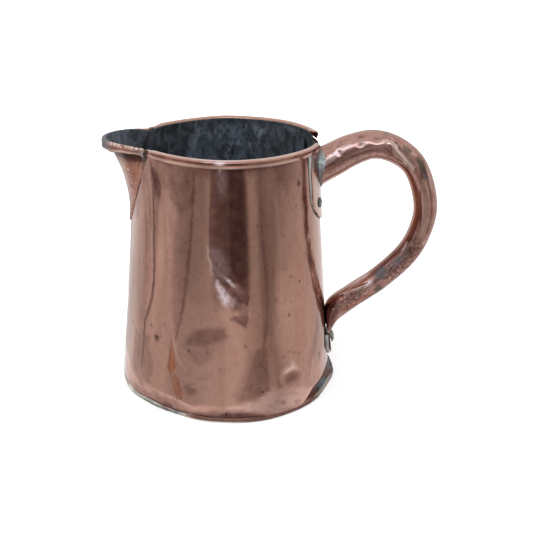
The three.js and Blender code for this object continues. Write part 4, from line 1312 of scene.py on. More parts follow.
reshape(spout, feathered)
inner_face = (radius < middle_radius) & (travel_all < SPOUT_FOLD_START + 0.02) & (np.abs(across_all) < 0.985)
spout_points = points_of(spout)
front_side = smooth(-across_all, 0.05, 0.4)
tip = falling(np.abs(across_all + 0.08), 0.14, 0.4)
lip_zone = smooth(travel_all, SPOUT_FOLD_START - 0.03, SPOUT_FOLD_START + 0.02)
beak = 1.0 - lip_zone
flecks = uneven(spout_points, 2.4, 44)
upper_lip = lip_zone * falling(travel_all, 0.82, 0.9)
hem_edge = smooth(travel_all, 0.92, 0.96)
beside_lip = smooth(travel_all, 0.62, 0.66) * front_side * (1.0 - tip)
back_lip = lip_zone * smooth(across_all, -0.1, 0.1) * falling(across_all, 0.6, 0.9)
glints = smooth(wavy(spout_points, 1.9, 46), 0.3, 0.6) * falling(np.abs(across_all), 0.25, 0.5)
# Painted shadow under the folded lip
lip_shadow = smooth(height, 160.0, 168.0) * beak
between_edges = smooth(travel_all, 0.84, 0.88) * (1.0 - hem_edge)
sides = smooth(np.abs(across_all), 0.8, 0.97)
outside_marks = wavy(spout_points * [1.0, 1.0, 0.25], 9.0, 45) * beak
hammered = smooth(wavy(spout_points, 11.0, 47), -0.4, 0.3)
# A painted highlight down the outside of the beak
outer_highlight = bell(across_all, -0.45, 0.12) * beak * smooth(height, 134.0, 150.0)
# A painted highlight along the lower edge of the hem in front
hem_highlight = front_side * (1.0 - 0.6 * tip) * 0.75 * hem_edge
SPOUT_PAINT = {
    "lining": strongest(inner_face * (1.0 - 0.8 * beside_lip), 0.9 * tip * lip_zone, back_lip),
    "black": strongest(0.72 * inner_face * (1.0 - 0.3 * flecks), 0.5 * strongest(tip * lip_zone, back_lip)),
    "bright": 0.45 * glints,
    "flecked": 0.9 * front_side * (1.0 - tip) * upper_lip * smooth(-across_all, 0.1, 0.3),
    "grey": 0.6 * front_side * smooth(-across_all, 0.75, 0.95) * lip_zone,
    # Painted shadow under the lip, and darker copper between the hem's two edges
    "brown": strongest(0.85 * lip_shadow, 0.45 * front_side * between_edges),
    # Painted shadow under the lip, darker still
    "stain_and_shade": 0.95 * smooth(height, 164.0, 167.0) * beak,
    # Painted shadow under the lip, darkest in front
    "soot_and_shade": 0.55 * smooth(height, 165.5, 168.5) * beak * front_side * ~inner_face,
    "green": 0.3 * sides * smooth(height, 166.0, 171.0),
    "warm": 0.4 * smooth(outside_marks, 0.0, 0.5),
    "pitted": 0.7 * beak * ~inner_face * hammered,
    # Painted highlights along the hem and down the beak
    "pale": strongest(hem_highlight, 0.4 * outer_highlight * ~inner_face),
}
for paint, strength in SPOUT_PAINT.items():
    painted(spout, paint, strength)
finished(spout, spout_copper, "spout", 50.0)

# Solder along the spout's two edges: each bead climbs the seam and bends over the rim
OVER_RIM = [(1.6, 172.6, 0.7), (2.5, 173.4, 0.8), (2.7, 174.2, 0.8), (2.0, 174.9, 0.7), (0.8, 175.0, 0.6),
            (-0.4, 174.6, 0.4)]
for side, name in ((1.0, "front"), (-1.0, "back")):
    levels = np.linspace(SPOUT_FOOT + 1.0, SPOUT_LIP - 1.5, 80)
    thick = 0.24 + 0.31 * smooth(levels, 164.5, 171.0)
    angles = math.radians(SPOUT_AXIS) + side * (spout_seam(levels) + 0.5 * thick / wall_radius(levels))
    reach = wall_radius(levels) + 0.6 * thick
    seam = dented(np.column_stack([reach * np.cos(angles), reach * np.sin(angles), levels]))
    corner = angles[-1] + side * 0.012
    over = [[(MOUTH_RADIUS + out) * math.cos(corner), (MOUTH_RADIUS + out) * math.sin(corner), level]
            for out, level, _ in OVER_RIM]
    thick = np.concatenate([thick, [half for _, _, half in OVER_RIM]])
    bead = rod(f"spout_seam_{name}", np.vstack([seam, over]), thick)
    reshape(bead, lambda points: points + 0.2 * wavy(points, 2.6, 51)[:, None])
    reshape(bead, leaned)
    bead_points = points_of(bead)
    low_part = falling(bead_points[:, 2], 164.0, 168.0)
    painted(bead, "brown", 0.5 * (1.0 - low_part))
    painted(bead, "copper", 0.95 * np.maximum(low_part, float(side < 0.0)))
    painted(bead, "black", 0.7 * (1.0 - low_part) * (side > 0.0))
    finished(bead, thin_solder, f"spout_solder_{name}", 60.0, lean=False)


# Shield plate, its edge solder and its rivets

def plate_edge(margin, count=40):
    """The plate's outline as across and height: two straight sides and a round toe."""
    across = PLATE_HALF_WIDTH + margin
    toe = PLATE_TOE + margin
    points = [(-across, PLATE_TOP)]
    for step in range(count + 1):
        turn = math.pi * (1.0 + step / count)
        points.append((across * math.cos(turn), PLATE_SHOULDER + toe * math.sin(turn)))
    points.append((across, PLATE_TOP))
    return points


plate_low = PLATE_SHOULDER - PLATE_TOE - 5.0
plate_profile = [(wall_radius(level) + SEAT, level) for level in np.linspace(plate_low, PLATE_TOP, 34)]
plate = turned("shield_plate", plate_profile)
drop_faces(plate, lambda points: np.abs(polar(points)[0]) > PLATE_KEPT)
reshape(plate, dented)
wall_facing_out(plate)
modified(plate, 'SOLIDIFY', thickness=PLATE_SHEET * MM, offset=1.0)
cut(plate, block("plate_cutter", plate_edge(0.0), 20.0, 120.0), 'INTERSECT')
PLATE_PAINT = {
    "brown": [
        ("area", 0.95, 1.0, [(-22, 173), (-12, 173), (-12, 150), (-15, 146), (-17, 154), (-20, 160)]),
        ("spots", 0.7, (1.4, 3.6), [(-16, 158), (-13, 148)]),
        ("spots", 0.6, (3.0, 8.0), [(20, 160)]),
    ],
    "green": [
        ("area", 0.8, 0.8, [(-27, 173), (-22, 173), (-22, 160), (-26, 162)]),
        ("spots", 0.6, (1.2, 4.0), [(-18, 162), (-14.5, 152)]),
    ],
    "pale": [("area", 0.5, 2.0, [(-24, 155), (-14, 144), (-4, 140), (-4, 120), (-24, 124)])],
    "stain_and_shade": [("spots", 0.5, (1.0, 1.2), [(-16, 140), (6, 128)])],
}
plate_points = points_of(plate)
for paint, marks in PLATE_PAINT.items():
    painted(plate, paint, wall_marks(plate_points, marks, 0.3))
finished(plate, body_copper, "handle_plate", 40.0)

# The line of solder follows the plate's outline down one side, round the toe and up the other
line = np.array(plate_edge(SEAT, 90))
down = np.linspace(PLATE_TOP - 0.5, PLATE_SHOULDER + 2.0, 24)
up = np.linspace(PLATE_SHOULDER + 2.0, PLATE_TOP - 0.5, 24)
line = np.vstack([[(line[0][0], level) for level in down], line[2:-2],
                  [(line[-1][0], level) for level in up]])
thick = 0.26 + 0.34 * smooth(line[:, 1], 128.0, 150.0) + 0.5 * smooth(line[:, 1], 160.0, 169.0)
reach = wall_radius(line[:, 1]) + 0.5 * thick
path = np.column_stack([np.sqrt(reach ** 2 - line[:, 0] ** 2), line[:, 0], line[:, 1]])
edge_solder = rod("plate_edge_bead", dented(path), thick)
reshape(edge_solder, lambda points: points + 0.18 * wavy(points, 3.4, 61)[:, None])
azimuth, radius, height = polar(points_of(edge_solder))
painted(edge_solder, "black", 0.8 * falling(height, 124.0, 140.0))
painted(edge_solder, "bright", 0.85 * smooth(height, 136.0, 152.0))
finished(edge_solder, thin_solder, "plate_edge_solder", 60.0)


def rivet(name, node, angle, level, grip, head_radius, head_height):
    """A hammered rivet: a worn dome outside, a shank, and a tail beaten flat inside."""
    tail = -WALL - SEAT
    top = grip + SEAT
    profile = [(0.0, tail - 0.9), (3.0, tail - 0.9), (3.6, tail - 0.6), (3.8, tail - 0.3), (3.6, tail)]
    profile += [(2.2, tail), (2.2, top), (head_radius * 0.97, top)]
    for lift in (12, 24, 36, 48, 60, 72, 82):
        turn = math.radians(lift)
        profile.append((head_radius * math.cos(turn), top + 0.25 + (head_height - 0.25) * math.sin(turn)))
    profile.append((0.0, top + head_height))
    piece = turned(name, profile, RIVET_COLUMNS)
    reshape(piece, lambda points: points + (0.16 * wavy(points, 4.0, 71)
                                            * smooth(points[:, 2], top, top + 1.0))[:, None])
    slope = (wall_radius(level - 1.0) - wall_radius(level + 1.0)) / 2.0
    azimuth = math.radians(angle)
    tip_up = math.atan(slope)
    flat = math.cos(tip_up)
    out = np.array([math.cos(azimuth) * flat, math.sin(azimuth) * flat, math.sin(tip_up)])
    side = np.array([-math.sin(azimuth), math.cos(azimuth), 0.0])
    over = np.cross(out, side)
    reach = wall_radius(level)
    seat = np.array([reach * math.cos(azimuth), reach * math.sin(azimuth), level])
    reshape(piece, lambda points: leaned(seat + points @ np.array([side, over, out])))
    facing_out(piece)
    finished(piece, rivet_metal, node, 50.0, lean=False)


SHIELD_RIVET = {"level": RIM_HEIGHT - 41.6, "grip": PLATE_OUT, "head_radius": 3.6, "head_height": 1.3}
TONGUE_RIVET = {"level": 25.3, "grip": 3.2, "head_radius": 4.65, "head_height": 2.3}
rivet("shield_rivet_front", "plate_rivet_front", -14.0, **SHIELD_RIVET)
rivet("shield_rivet_back", "plate_rivet_back", 14.0, **SHIELD_RIVET)
rivet("tongue_rivet_head", "tongue_rivet", 0.0, **TONGUE_RIVET)


# Handle: a tube drawn along its stations, flattened to a tongue at its foot

TONGUE_OUT = 2.0 * SEAT + 1.0 + 0.8
# A station is kept at the vertices as a share of this
STATION_SCALE = 20.0
TUBE_SIDES = 96
# Out from the wall, height, depth, width and squareness of the section
STATIONS = np.array([
    [-8.0, 150.0, 25.0, 25.0, 2.0],
    [0.4, 155.6, 24.4, 24.6, 2.0],
    [10.5, 160.8, 23.6, 24.0, 2.0],
    [21.7, 166.8, 22.2, 22.6, 2.0],
    [37.9, 171.3, 20.0, 21.0, 2.0],
    [52.3, 168.1, 18.6, 19.4, 2.0],
    [66.3, 156.4, 17.0, 18.4, 2.0],
    [73.8, 127.8, 16.8, 18.0, 2.0],
    [69.0, 106.9, 16.5, 17.6, 2.0],
    [59.7, 91.5, 16.8, 17.4, 2.0],
    [40.1, 72.7, 17.0, 17.4, 2.0],
    [20.6, 59.0, 16.6, 17.8, 2.2],
    [7.4, 48.5, 15.6, 18.6, 2.6],
    [3.4, 40.0, 8.1, 19.4, 3.2],
    [TONGUE_OUT, 32.0, 1.6, 19.6, 5.0],
    [TONGUE_OUT, 19.0, 1.6, 18.0, 5.0],
    [TONGUE_OUT, 14.0, 1.6, 8.0, 5.0],
])
CENTRES = np.column_stack([wall_radius(STATIONS[:, 1]) + STATIONS[:, 0], STATIONS[:, 1]])


def along_stations(values, station):
    """A smooth curve through values given at the stations, by the chord-length rule."""
    values = np.asarray(values, float)
    if values.ndim == 1:
        values = values[:, None]
    padded = np.vstack([2.0 * values[0] - values[1], values, 2.0 * values[-1] - values[-2]])
    chords = np.vstack([2.0 * CENTRES[0] - CENTRES[1], CENTRES, 2.0 * CENTRES[-1] - CENTRES[-2]])
    index = np.clip(np.floor(station).astype(int), 0, len(STATIONS) - 2)
    share = (station - index)[:, None]
    spans = np.sqrt(np.linalg.norm(np.diff(chords, axis=0), axis=1))
    before = spans[index][:, None]
    here = spans[index + 1][:, None]
    after = spans[index + 2][:, None]
    p0, p1, p2, p3 = (padded[index + step] for step in range(4))
    start = here * ((p1 - p0) / before - (p2 - p0) / (before + here) + (p2 - p1) / here)
    end = here * ((p2 - p1) / here - (p3 - p1) / (here + after) + (p3 - p2) / after)
    squared = share ** 2
    cubed = share ** 3
    return ((2 * cubed - 3 * squared + 1) * p1 + (cubed - 2 * squared + share) * start
            + (3 * squared - 2 * cubed) * p2 + (cubed - squared) * end)


# Dents in the handle and what is painted on it, as marks like the wall's: their places are a
# station and a turn round the tube, in degrees from its outer side. Among the paints, the pale lines
# along the ridge, the light patches low down and the lilac marks are painted highlights, and a brown
# line below the ridge is painted shade
HANDLE_FORMS = [
    ("line", 0.9, 1.7, [(4.55, -44), (5.08, -74), (5.57, -90), (5.98, -98)]),
    ("line", -0.5, 1.8, [(4.6, -62), (5.0, -92), (5.5, -108)]),
    ("area", 0.8, 2.0, [(4.9, -50), (5.2, -26), (5.8, -32), (6.1, -70), (5.7, -80)]),
    ("spots", 0.6, (2.6, 2.6), [(3.57, -38), (4.08, -54)]),
    ("spots", 0.5, (1.8, 1.8), [(3.5, -66), (2.5, -66)]),
    ("spots", 0.8, (3.0, 5.0), [(6.25, -70), (8.7, -110), (9.5, -110), (10.1, -70)]),
    ("line", 0.45, 1.6, [(6.4, -66), (6.8, -70), (7.3, -73), (7.8, -70)]),
    ("line", -0.4, 1.8, [(6.5, -107), (7.0, -111), (7.7, -103), (8.1, -97)]),
    ("line", -0.5, 1.4, [(11.4, -150), (10.8, -129), (10.3, -118)]),
    ("spots", 0.8, (4.0, 8.0), [(3.4, 70), (6.4, 110), (8.2, 80), (10.6, 60)]),
]
HANDLE_PAINT = {
    "brown": [
        ("area", 0.85, 0.8, [(6.02, -76), (6.12, -46), (6.34, -56), (6.26, -98)]),
        ("line", 0.6, 0.8, [(6.35, -64), (6.8, -70), (7.3, -73), (7.9, -70)]),
        ("area", 0.45, 1.6, [(8.2, -160), (7.94, -85), (8.45, -52), (9.3, -70), (9.5, -100), (8.9, -140)]),
        ("area", 0.3, 2.5, [(8.2, -150), (8.3, -90), (9.2, -70), (10.1, -80), (10.1, -150), (9.2, -168)]),
        ("area", 0.35, 2.0, [(10.6, -90), (11.3, -60), (12.2, -70), (12.2, -110), (11.3, -110)]),
        ("area", 0.5, 1.4, [(8.9, -150), (9.2, -140), (9.9, -150), (9.9, -176), (8.9, -176)]),
        ("area", 0.8, 2.5, [(11.7, -178), (11.5, -140), (12.0, -85), (13.3, -60), (13.3, -178)]),
        ("line", 0.5, 1.4, [(1.7, -88), (3.0, -96), (4.4, -104), (5.4, -118)]),
        # Painted shade below the ridge
        ("line", 0.45, 1.2, [(4.4, -84), (4.95, -106), (5.5, -118), (5.9, -124)]),
        ("spots", 0.6, (1.2, 1.6), [(4.08, -50), (3.57, -34), (3.5, -66)]),
        ("line", 0.4, 1.5, [(2.0, 30), (4.0, 40), (6.0, 20), (8.0, 40)]),
        ("spots", 0.5, (4.0, 7.0), [(7.0, 90), (9.4, 120), (4.4, 120)]),
    ],
    "olive": [
        ("area", 0.9, 0.6, [(5.1, -50), (5.2, -38), (5.5, -42), (5.46, -66), (5.26, -70)]),
        ("area", 0.8, 0.7, [(5.7, -56), (5.76, -38), (5.95, -36), (6.2, -56), (6.06, -80), (5.9, -76)]),
        ("line", 0.7, 0.8, [(6.35, -6), (6.7, -27)]),
        ("area", 0.85, 0.5, [(10.04, -90), (10.06, -50), (10.16, -27), (10.3, -40), (10.3, -79)]),
    ],
    "green": [
        ("line", 0.5, 0.9, [(4.4, -18), (4.8, -24)]),
        ("line", 0.5, 0.6, [(9.7, -36), (10.0, -44), (10.6, -50), (11.4, -60)]),
        ("spots", 0.6, (3.0, 9.0), [(13.6, -70)]),
    ],
    "grey": [
        ("spots", 0.95, (2.2, 2.4), [(9.2, -115)]),
        ("area", 0.95, 0.6, [(9.62, -128), (9.6, -150), (9.84, -160), (9.98, -140), (10.0, -116),
            (9.83, -92)]),
        ("spots", 0.7, (1.4, 1.4), [(6.24, -70), (3.5, -64), (4.4, -20)]),
    ],
    "pitted": [
        ("area", 0.75, 2.5, [(8.1, -137), (7.96, -30), (8.47, -21), (9.1, -60), (9.14, -90),
            (9.08, -125)]),
        ("area", 0.9, 1.5, [(9.1, -100), (8.77, -22), (9.24, -24), (9.84, -27), (9.79, -104),
            (9.4, -132)]),
        ("area", 0.85, 1.5, [(11.31, -150), (10.28, -91), (10.3, -30), (10.6, -26), (11.5, -60),
            (12.2, -100)]),
        ("line", 0.8, 3.0, [(7.49, -17), (8.18, -21), (8.98, -25), (9.69, -25), (10.45, -38),
            (11.2, -84)]),
        ("line", 0.35, 4.0, [(1.5, -110), (3.0, -120), (4.4, -125), (5.6, -140)]),
        ("spots", 0.4, (7.0, 12.0), [(7.0, 60), (9.6, 130), (3.2, 110)]),
    ],
    "pale": [
        ("line", 0.5, 1.2, [(3.5, -72), (4.12, -70), (4.62, -54)]),
        # A painted highlight along the ridge
        ("line", 0.8, 2.3, [(4.3, -60), (4.62, -56), (5.02, -84), (5.5, -99), (5.95, -105)]),
        ("line", 0.35, 2.6, [(6.45, -107), (6.75, -99), (7.12, -98), (7.55, -96), (7.92, -98)]),
        ("area", 0.35, 1.4, [(10.79, -148), (10.22, -150), (10.1, -118), (10.36, -92), (10.8, -95)]),
        ("area", 0.6, 1.0, [(11.3, -150), (10.9, -168), (10.2, -178), (10.02, -152), (10.2, -128),
            (10.6, -132), (11.1, -124)]),
        ("line", 0.5, 1.0, [(8.4, -24), (9.0, -34), (9.6, -40), (10.0, -50)]),
        ("area", 0.4, 1.0, [(5.36, -39), (5.71, -42), (5.62, -60), (5.44, -56)]),
    ],
    "lilac": [
        ("line", 0.75, 0.55, [(1.04, -75), (1.95, -63), (2.91, -51), (3.18, -58)]),
        ("line", 0.4, 1.4, [(1.2, -80), (2.0, -72), (3.0, -62)]),
        ("line", 0.4, 1.0, [(4.62, -50), (5.02, -80), (5.5, -96), (5.9, -102)]),
        ("line", 0.4, 0.7, [(6.1, -47), (6.34, -47), (6.57, -56)]),
        ("area", 0.18, 2.0, [(8.5, -150), (8.5, -120), (9.0, -98), (10.0, -92), (10.1, -150)]),
        ("area", 0.5, 0.9, [(11.1, -148), (10.8, -160), (10.3, -168), (10.15, -152), (10.5, -146)]),
        ("line", 0.75, 0.9, [(8.42, -141), (8.9, -136)]),
        ("line", 0.4, 0.6, [(9.3, -146), (9.6, -144)]),
        ("line", 0.7, 0.5, [(9.38, -124), (9.62, -120)]),
        ("area", 0.75, 0.7, [(10.4, -123), (10.06, -128), (10.2, -104), (10.5, -112)]),
        ("line", 0.75, 0.6, [(11.4, -150), (10.8, -131), (10.5, -122)]),
    ],
    "warm": [
        ("line", 0.7, 1.6, [(5.8, -150), (6.8, -158), (8.0, -156)]),
        ("line", 0.6, 1.2, [(1.4, -130), (2.6, -140), (3.6, -150)]),
        ("line", 0.5, 1.6, [(10.2, -60), (10.9, -70), (11.8, -84)]),
        ("spots", 0.4, (3.0, 6.0), [(7.4, -132), (10.9, -140)]),
    ],
    "stain_and_shade": [
        ("spots", 0.6, (0.7, 0.8), [(9.5, -52), (9.7, -58), (9.3, -48), (10.6, -72), (10.9, -80),
            (11.1, -66), (9.0, -60), (2.2, -104), (3.2, -118), (7.2, -86), (8.4, -100)]),
    ],
}

# Millimetres of skin for a step along the stations, and for a degree round the tube
STATION_LENGTH = 15.0
DEGREE_LENGTH = 0.165


def handle_felt(station, degrees, mark, ragged=0.0):
    """How strongly one of these marks is felt, times its strength."""
    u = degrees * DEGREE_LENGTH
    v = station * STATION_LENGTH
    if ragged > 0.0:
        flat = np.column_stack([u, v, 0.0 * u])
        u = u + ragged * wavy(flat, 4.0, 111)
        v = v + ragged * wavy(flat, 4.0, 112)
    shape, strength, size, places = mark
    swapped = (shape, strength, size, [(degree, where) for where, degree in places])
    return strength * felt(u, v, swapped, lambda degree: degree * DEGREE_LENGTH, STATION_LENGTH)


def handle_points(station, turn, growth):
    """Points on the handle's skin: a station, a turn in radians from its outer side, and growth."""
    centre = along_stations(CENTRES, station)
    step = 0.02
    ahead = along_stations(CENTRES, np.minimum(station + step, len(STATIONS) - 1.0))
    behind = along_stations(CENTRES, np.maximum(station - step, 0.0))
    along = ahead - behind
    along /= np.linalg.norm(along, axis=1)[:, None]
    section = along_stations(STATIONS[:, 2:], station)
    power = 2.0 / np.maximum(2.0, section[:, 2])
    deep = np.sign(np.cos(turn)) * np.abs(np.cos(turn)) ** power * (section[:, 0] / 2.0 + growth)
    wide = np.sign(np.sin(turn)) * np.abs(np.sin(turn)) ** power * (section[:, 1] / 2.0 + growth)
    return np.column_stack([centre[:, 0] - along[:, 1] * deep, wide, centre[:, 1] + along[:, 0] * deep])


def handle_push(station, turn):
    """How far the skin stands in or out at its dents."""
    push = np.zeros(len(station))
    for mark in HANDLE_FORMS:
        push -= handle_felt(station, np.degrees(turn), mark)
    around = np.column_stack([np.cos(turn) * 9.0, np.sin(turn) * 9.0, station * STATION_LENGTH])
    return push + 0.15 * wavy(around, 13.0, 113)


def tube(name, first, last, rings, sides, growth):
    """A tube skin from one station to another, extruded ring by ring and then laid along them."""
    start_fresh()
    bpy.ops.mesh.primitive_circle_add(vertices=sides, radius=10.0 * MM)
    edit()
    for _ in range(rings):
        extruded(0.0, 0.0, 1.0)
    bpy.ops.object.mode_set(mode='OBJECT')
    piece = named(name)
    settle(piece)
    points = points_of(piece)
    station = first + (last - first) * points[:, 2] / rings
    turn = np.arctan2(points[:, 1], points[:, 0])
    painted(piece, "station", station / STATION_SCALE)
    painted(piece, "turn", turn / (2.0 * math.pi) + 0.5)
    reshape(piece, lambda _: handle_points(station, turn, growth(station, turn)))
    return piece


def turn_round(piece):
    """The turn round the tube that was kept at each vertex, in degrees."""
    return (kept(piece, "turn").astype(float) - 0.5) * 360.0


def seated(points):
    """Beats whatever would come through the wall flat against its outside."""
    azimuth, radius, height = polar(points)
    ground = wall_radius(height) + SEAT + 0.2
    upper = smooth(height, 100.0, 104.0)
    return around_jug(points, 1.0 + upper * (np.maximum(ground, radius) / radius - 1.0))


# The drawn tube runs as far as the tongue, which is solid. Both lie just inside the solid's skin.
INSIDE_SKIN = 0.1
TUBE_STATIONS = (0.35, 13.3)
TONGUE_STATIONS = (13.2, 16.0)
handle = tube("handle_tube_drawn", *TUBE_STATIONS, 300, TUBE_SIDES,
              lambda station, turn: handle_push(station, turn) - INSIDE_SKIN)
facing_out(handle)
modified(handle, 'SOLIDIFY', thickness=HANDLE_SHEET * MM, offset=-1.0)
tongue = tube("handle_tongue", *TONGUE_STATIONS, 60, TUBE_SIDES,
              lambda station, turn: np.full(len(station), -INSIDE_SKIN))
take(tongue)
edit('EDGE')
bpy.ops.mesh.select_all(action='DESELECT')
bpy.ops.mesh.select_non_manifold()
bpy.ops.mesh.edge_face_add()
bpy.ops.object.mode_set(mode='OBJECT')
facing_out(tongue)
take(handle)
tongue.select_set(True)
bpy.ops.object.join()
handle = named("handle_tube_drawn")
station = kept(handle, "station").astype(float) * STATION_SCALE
turn_degrees = turn_round(handle)
for paint, marks in HANDLE_PAINT.items():
    strength = np.zeros(len(station))
    for mark in marks:
        strength = np.maximum(strength, handle_felt(station, turn_degrees, mark, 0.35))
    painted(handle, paint, strength)
reshape(handle, seated)
finished(handle, handle_copper, "handle_tube", 45.0)


# Solder round the handle's upper end, and under the tongue

COLLAR_SHEET = 1.0
COLLAR_SIDES = 128
COLLAR_STATIONS = (0.3, 1.95)


def collar_growth(station, turn):
    """A lumpy ring, thickest toward the front, that dives under the tube's skin at a ragged edge."""
    skin_points = handle_points(station, turn, 0.0 * station)
    out = np.hypot(skin_points[:, 0], skin_points[:, 1]) - wall_radius(skin_points[:, 2])
    front = bell(np.degrees(turn), -72.0, 38.0)
    share = np.clip(out / (2.4 + 3.6 * front), 0.0, 1.6)
    around = np.column_stack([np.cos(turn) * 12.0, np.sin(turn) * 12.0, station * 9.0])
    lumps = 0.4 * wavy(around, 6.0, 81) + 0.35 * wavy(around, 2.6, 82)
    return (1.0 + 0.7 * front) * (1.0 - share ** 1.5) + lumps * (1.0 - 0.3 * share) - 0.2


collar = tube("upper_joint_lump", *COLLAR_STATIONS, 80, COLLAR_SIDES, collar_growth)
facing_out(collar)
modified(collar, 'SOLIDIFY', thickness=COLLAR_SHEET * MM, offset=-1.0)
collar_points = points_of(collar)
lumps = uneven(collar_points, 3.0, 83)
lit = bell(turn_round(collar), -70.0, 40.0)
painted(collar, "bright", 0.75 * lit * lumps)
painted(collar, "brown", 0.9 * (1.0 - lit))
painted(collar, "black", 0.5 * (1.0 - lit) * (1.0 - lumps))
reshape(collar, seated)
finished(collar, joint_solder, "upper_joint_solder", 60.0)

# The packing under the tongue: a flat block with a round lower end, laid along the wall
PACKING_HALF_WIDTH = 8.0
PACKING_OUT = (-0.3, 1.4)
packing_outline = [(PACKING_HALF_WIDTH, 30.0), (4.0, 30.6), (-4.0, 30.3), (-PACKING_HALF_WIDTH, 30.0)]
for step in range(13):
    turn = math.pi * (1.0 + step / 12.0)
    packing_outline.append((PACKING_HALF_WIDTH * math.cos(turn), 18.0 + 5.6 * math.sin(turn)))
packing = block("tongue_packing", packing_outline, *PACKING_OUT)
reshape(packing, lambda points: points + np.outer(wall_radius(points[:, 2]), [1.0, 0.0, 0.0]))
modified(packing, 'SUBSURF', levels=2, render_levels=2, subdivision_type='SIMPLE')
reshape(packing, lambda points: points + 0.3 * wavy(points, 4.0, 91)[:, None])
painted(packing, "bright", 0.5 + 0.3 * wavy(points_of(packing), 3.0, 92))
finished(packing, joint_solder, "tongue_solder", 40.0)

# The wires inside the rim stay as the solids are
for wire in ("rim_wire_front", "rim_wire_back"):
    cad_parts[wire].data.materials.clear()
    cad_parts[wire].data.materials.append(wire_iron)


# Camera, at the photograph's viewing angle

CAMERA_AT = (30.155, -545.890, 309.522)
LOOKING_DOWN = math.radians(22.958)
CAMERA_ROLL = math.radians(0.4646)
FOCAL_LENGTH = 54.765
SENSOR_WIDTH = 36.0
roll = Matrix.Rotation(CAMERA_ROLL, 4, 'Z')
tilt = Matrix.Rotation(math.pi / 2.0 - LOOKING_DOWN, 4, 'X')
lens = bpy.data.cameras.new("camera")
lens.lens = FOCAL_LENGTH
lens.sensor_width = SENSOR_WIDTH
lens.clip_start = 0.01
camera = bpy.data.objects.new("camera", lens)
bpy.context.scene.collection.objects.link(camera)
camera.matrix_world = Matrix.Translation([place * MM for place in CAMERA_AT]) @ tilt @ roll
bpy.context.scene.camera = camera


# Floor, light tent and lamps, in metres

FLOOR_SIZE = 8.0
TENT_HEIGHT = 0.6
JUG_MIDDLE = 0.09
start_fresh()
bpy.ops.mesh.primitive_plane_add(size=FLOOR_SIZE)
floor = named("floor")
pale = Finish("pale_floor")
pale.set("Base Color", (0.82, 0.82, 0.82, 1.0))
pale.set("Roughness", 0.9)
pale.set("Specular IOR Level", 0.1)
pale.set("Emission Color", (1.0, 1.0, 1.0, 1.0))
from_middle = pale.add("ShaderNodeVectorMath", {0: pale.place}, operation='LENGTH').outputs["Value"]
faraway = pale.range(from_middle, 0.2, 0.9, 0.42, 1.0)
pale.set("Emission Strength", pale.both(pale.seen(), faraway))
floor.data.materials.append(pale.material)

# How bright the tent looks round the compass, as azimuth in degrees and brightness: the copper
# mirrors its high part in the upper wall and its low part in the lower wall
TENT_HIGH = [
    (-180, 0.92), (-171, 0.62), (-164, 1.0), (-150, 1.0), (-138, 0.68), (-124, 0.46), (-112, 0.55),
    (-104, 0.62), (-99, 0.46), (-88, 0.38), (-72, 0.3), (-67, 0.32), (-64, 0.58), (-58, 0.58),
    (-52, 0.38), (-42, 0.5), (-32, 0.54), (-20, 0.72), (0, 0.88), (13, 0.9), (24, 0.9), (60, 0.95),
    (75, 0.6), (90, 1.0), (120, 1.05), (130, 0.5), (145, 1.0), (160, 0.9), (170, 1.0), (180, 0.92),
]
TENT_LOW = [
    (-180, 0.9), (-170, 0.78), (-160, 0.95), (-147, 0.82), (-136, 0.84), (-124, 0.6), (-115, 0.62),
    (-104, 0.68), (-96, 0.78), (-84, 0.93), (-76, 0.9), (-66, 0.72), (-58, 0.62), (-51, 0.52),
    (-42, 0.74), (-32, 0.9), (-10, 0.92), (8, 0.85), (16, 0.85), (26, 1.0), (60, 1.0), (75, 0.7),
    (90, 1.0), (120, 0.9), (130, 0.6), (145, 0.85), (160, 0.74), (180, 0.9),
]
start_fresh()
bpy.ops.mesh.primitive_cone_add(vertices=96, radius1=0.1, radius2=0.9, depth=TENT_HEIGHT,
                                end_fill_type='NOTHING', location=(0.0, 0.0, TENT_HEIGHT / 2.0))
tent = named("light_tent")
settle(tent)
tent.visible_camera = False
tent.visible_diffuse = False
tent.visible_shadow = False
cloth = Finish("tent_cloth")
apart = cloth.add("ShaderNodeSeparateXYZ", {0: cloth.place})
compass = cloth.math('ARCTAN2', apart.outputs["Y"], apart.outputs["X"])
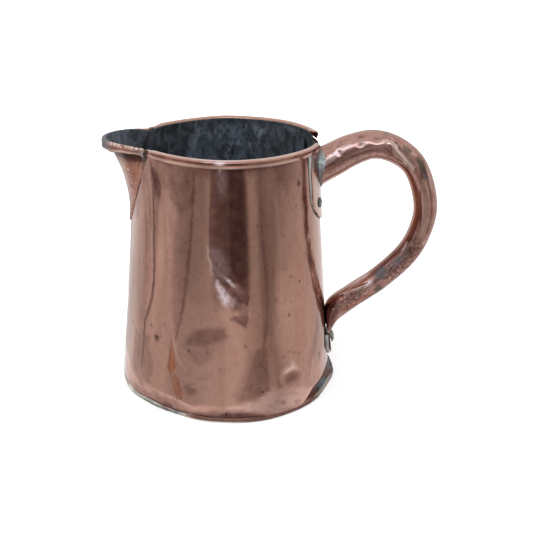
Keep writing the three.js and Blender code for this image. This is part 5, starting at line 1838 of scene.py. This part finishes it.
compass = cloth.range(compass, -math.pi, math.pi)


def tent_bands(stops):
    """The tent's brightness round the compass, a little warmer where it is darker."""
    return cloth.ramp(compass, [((angle + 180.0) / 360.0, (bright, bright ** 1.06, bright ** 1.08, 1.0))
                                for angle, bright in stops])


higher = cloth.range(apart.outputs["Z"], 0.045, 0.075)
glowing = cloth.mix(higher, tent_bands(TENT_LOW), tent_bands(TENT_HIGH))
light = cloth.add("ShaderNodeEmission", {"Color": glowing, "Strength": 1.0})
cloth.tree.links.new(light.outputs[0], cloth.tree.nodes["Material Output"].inputs["Surface"])
cloth.material.cycles.emission_sampling = 'NONE'
tent.data.materials.append(cloth.material)


def aimed_lamp(name, place, size, power, mirrored, tint):
    """A soft rectangular lamp aimed at the middle of the jug."""
    made = bpy.data.lights.new(name, 'AREA')
    made.shape = 'RECTANGLE'
    made.size, made.size_y = size
    made.energy = power
    made.color = tint
    holder = bpy.data.objects.new(name, made)
    bpy.context.scene.collection.objects.link(holder)
    holder.location = place
    towards = holder.location.copy()
    towards.z -= JUG_MIDDLE
    holder.rotation_euler = towards.to_track_quat('Z', 'Y').to_euler()
    holder.visible_glossy = mirrored


# Place, size, power, whether the copper mirrors the lamp, and its tint
WHITE = (1.0, 1.0, 1.0)
LAMPS = {
    "lamp_strip": ((-0.1, -1.0, 1.05), (1.3, 0.4), 3.4, True, (0.7, 0.84, 1.0)),
    "lamp_left": ((-1.2, -0.2, 1.2), (0.7, 0.7), 6.0, False, WHITE),
    "lamp_right": ((1.1, 0.5, 1.2), (0.7, 0.7), 5.0, False, WHITE),
}
for name, settings in LAMPS.items():
    aimed_lamp(name, *settings)

world = bpy.data.worlds.new("studio")
bpy.context.scene.world = world
world.use_nodes = True
sky = Nodes(world.node_tree)
back = world.node_tree.nodes["Background"]
back.inputs["Color"].default_value = (1.0, 1.0, 1.0, 1.0)
world.node_tree.links.new(sky.range(sky.seen(), 0.0, 1.0, 0.7, 1.0), back.inputs["Strength"])
bpy.context.scene.view_settings.view_transform = 'Standard'
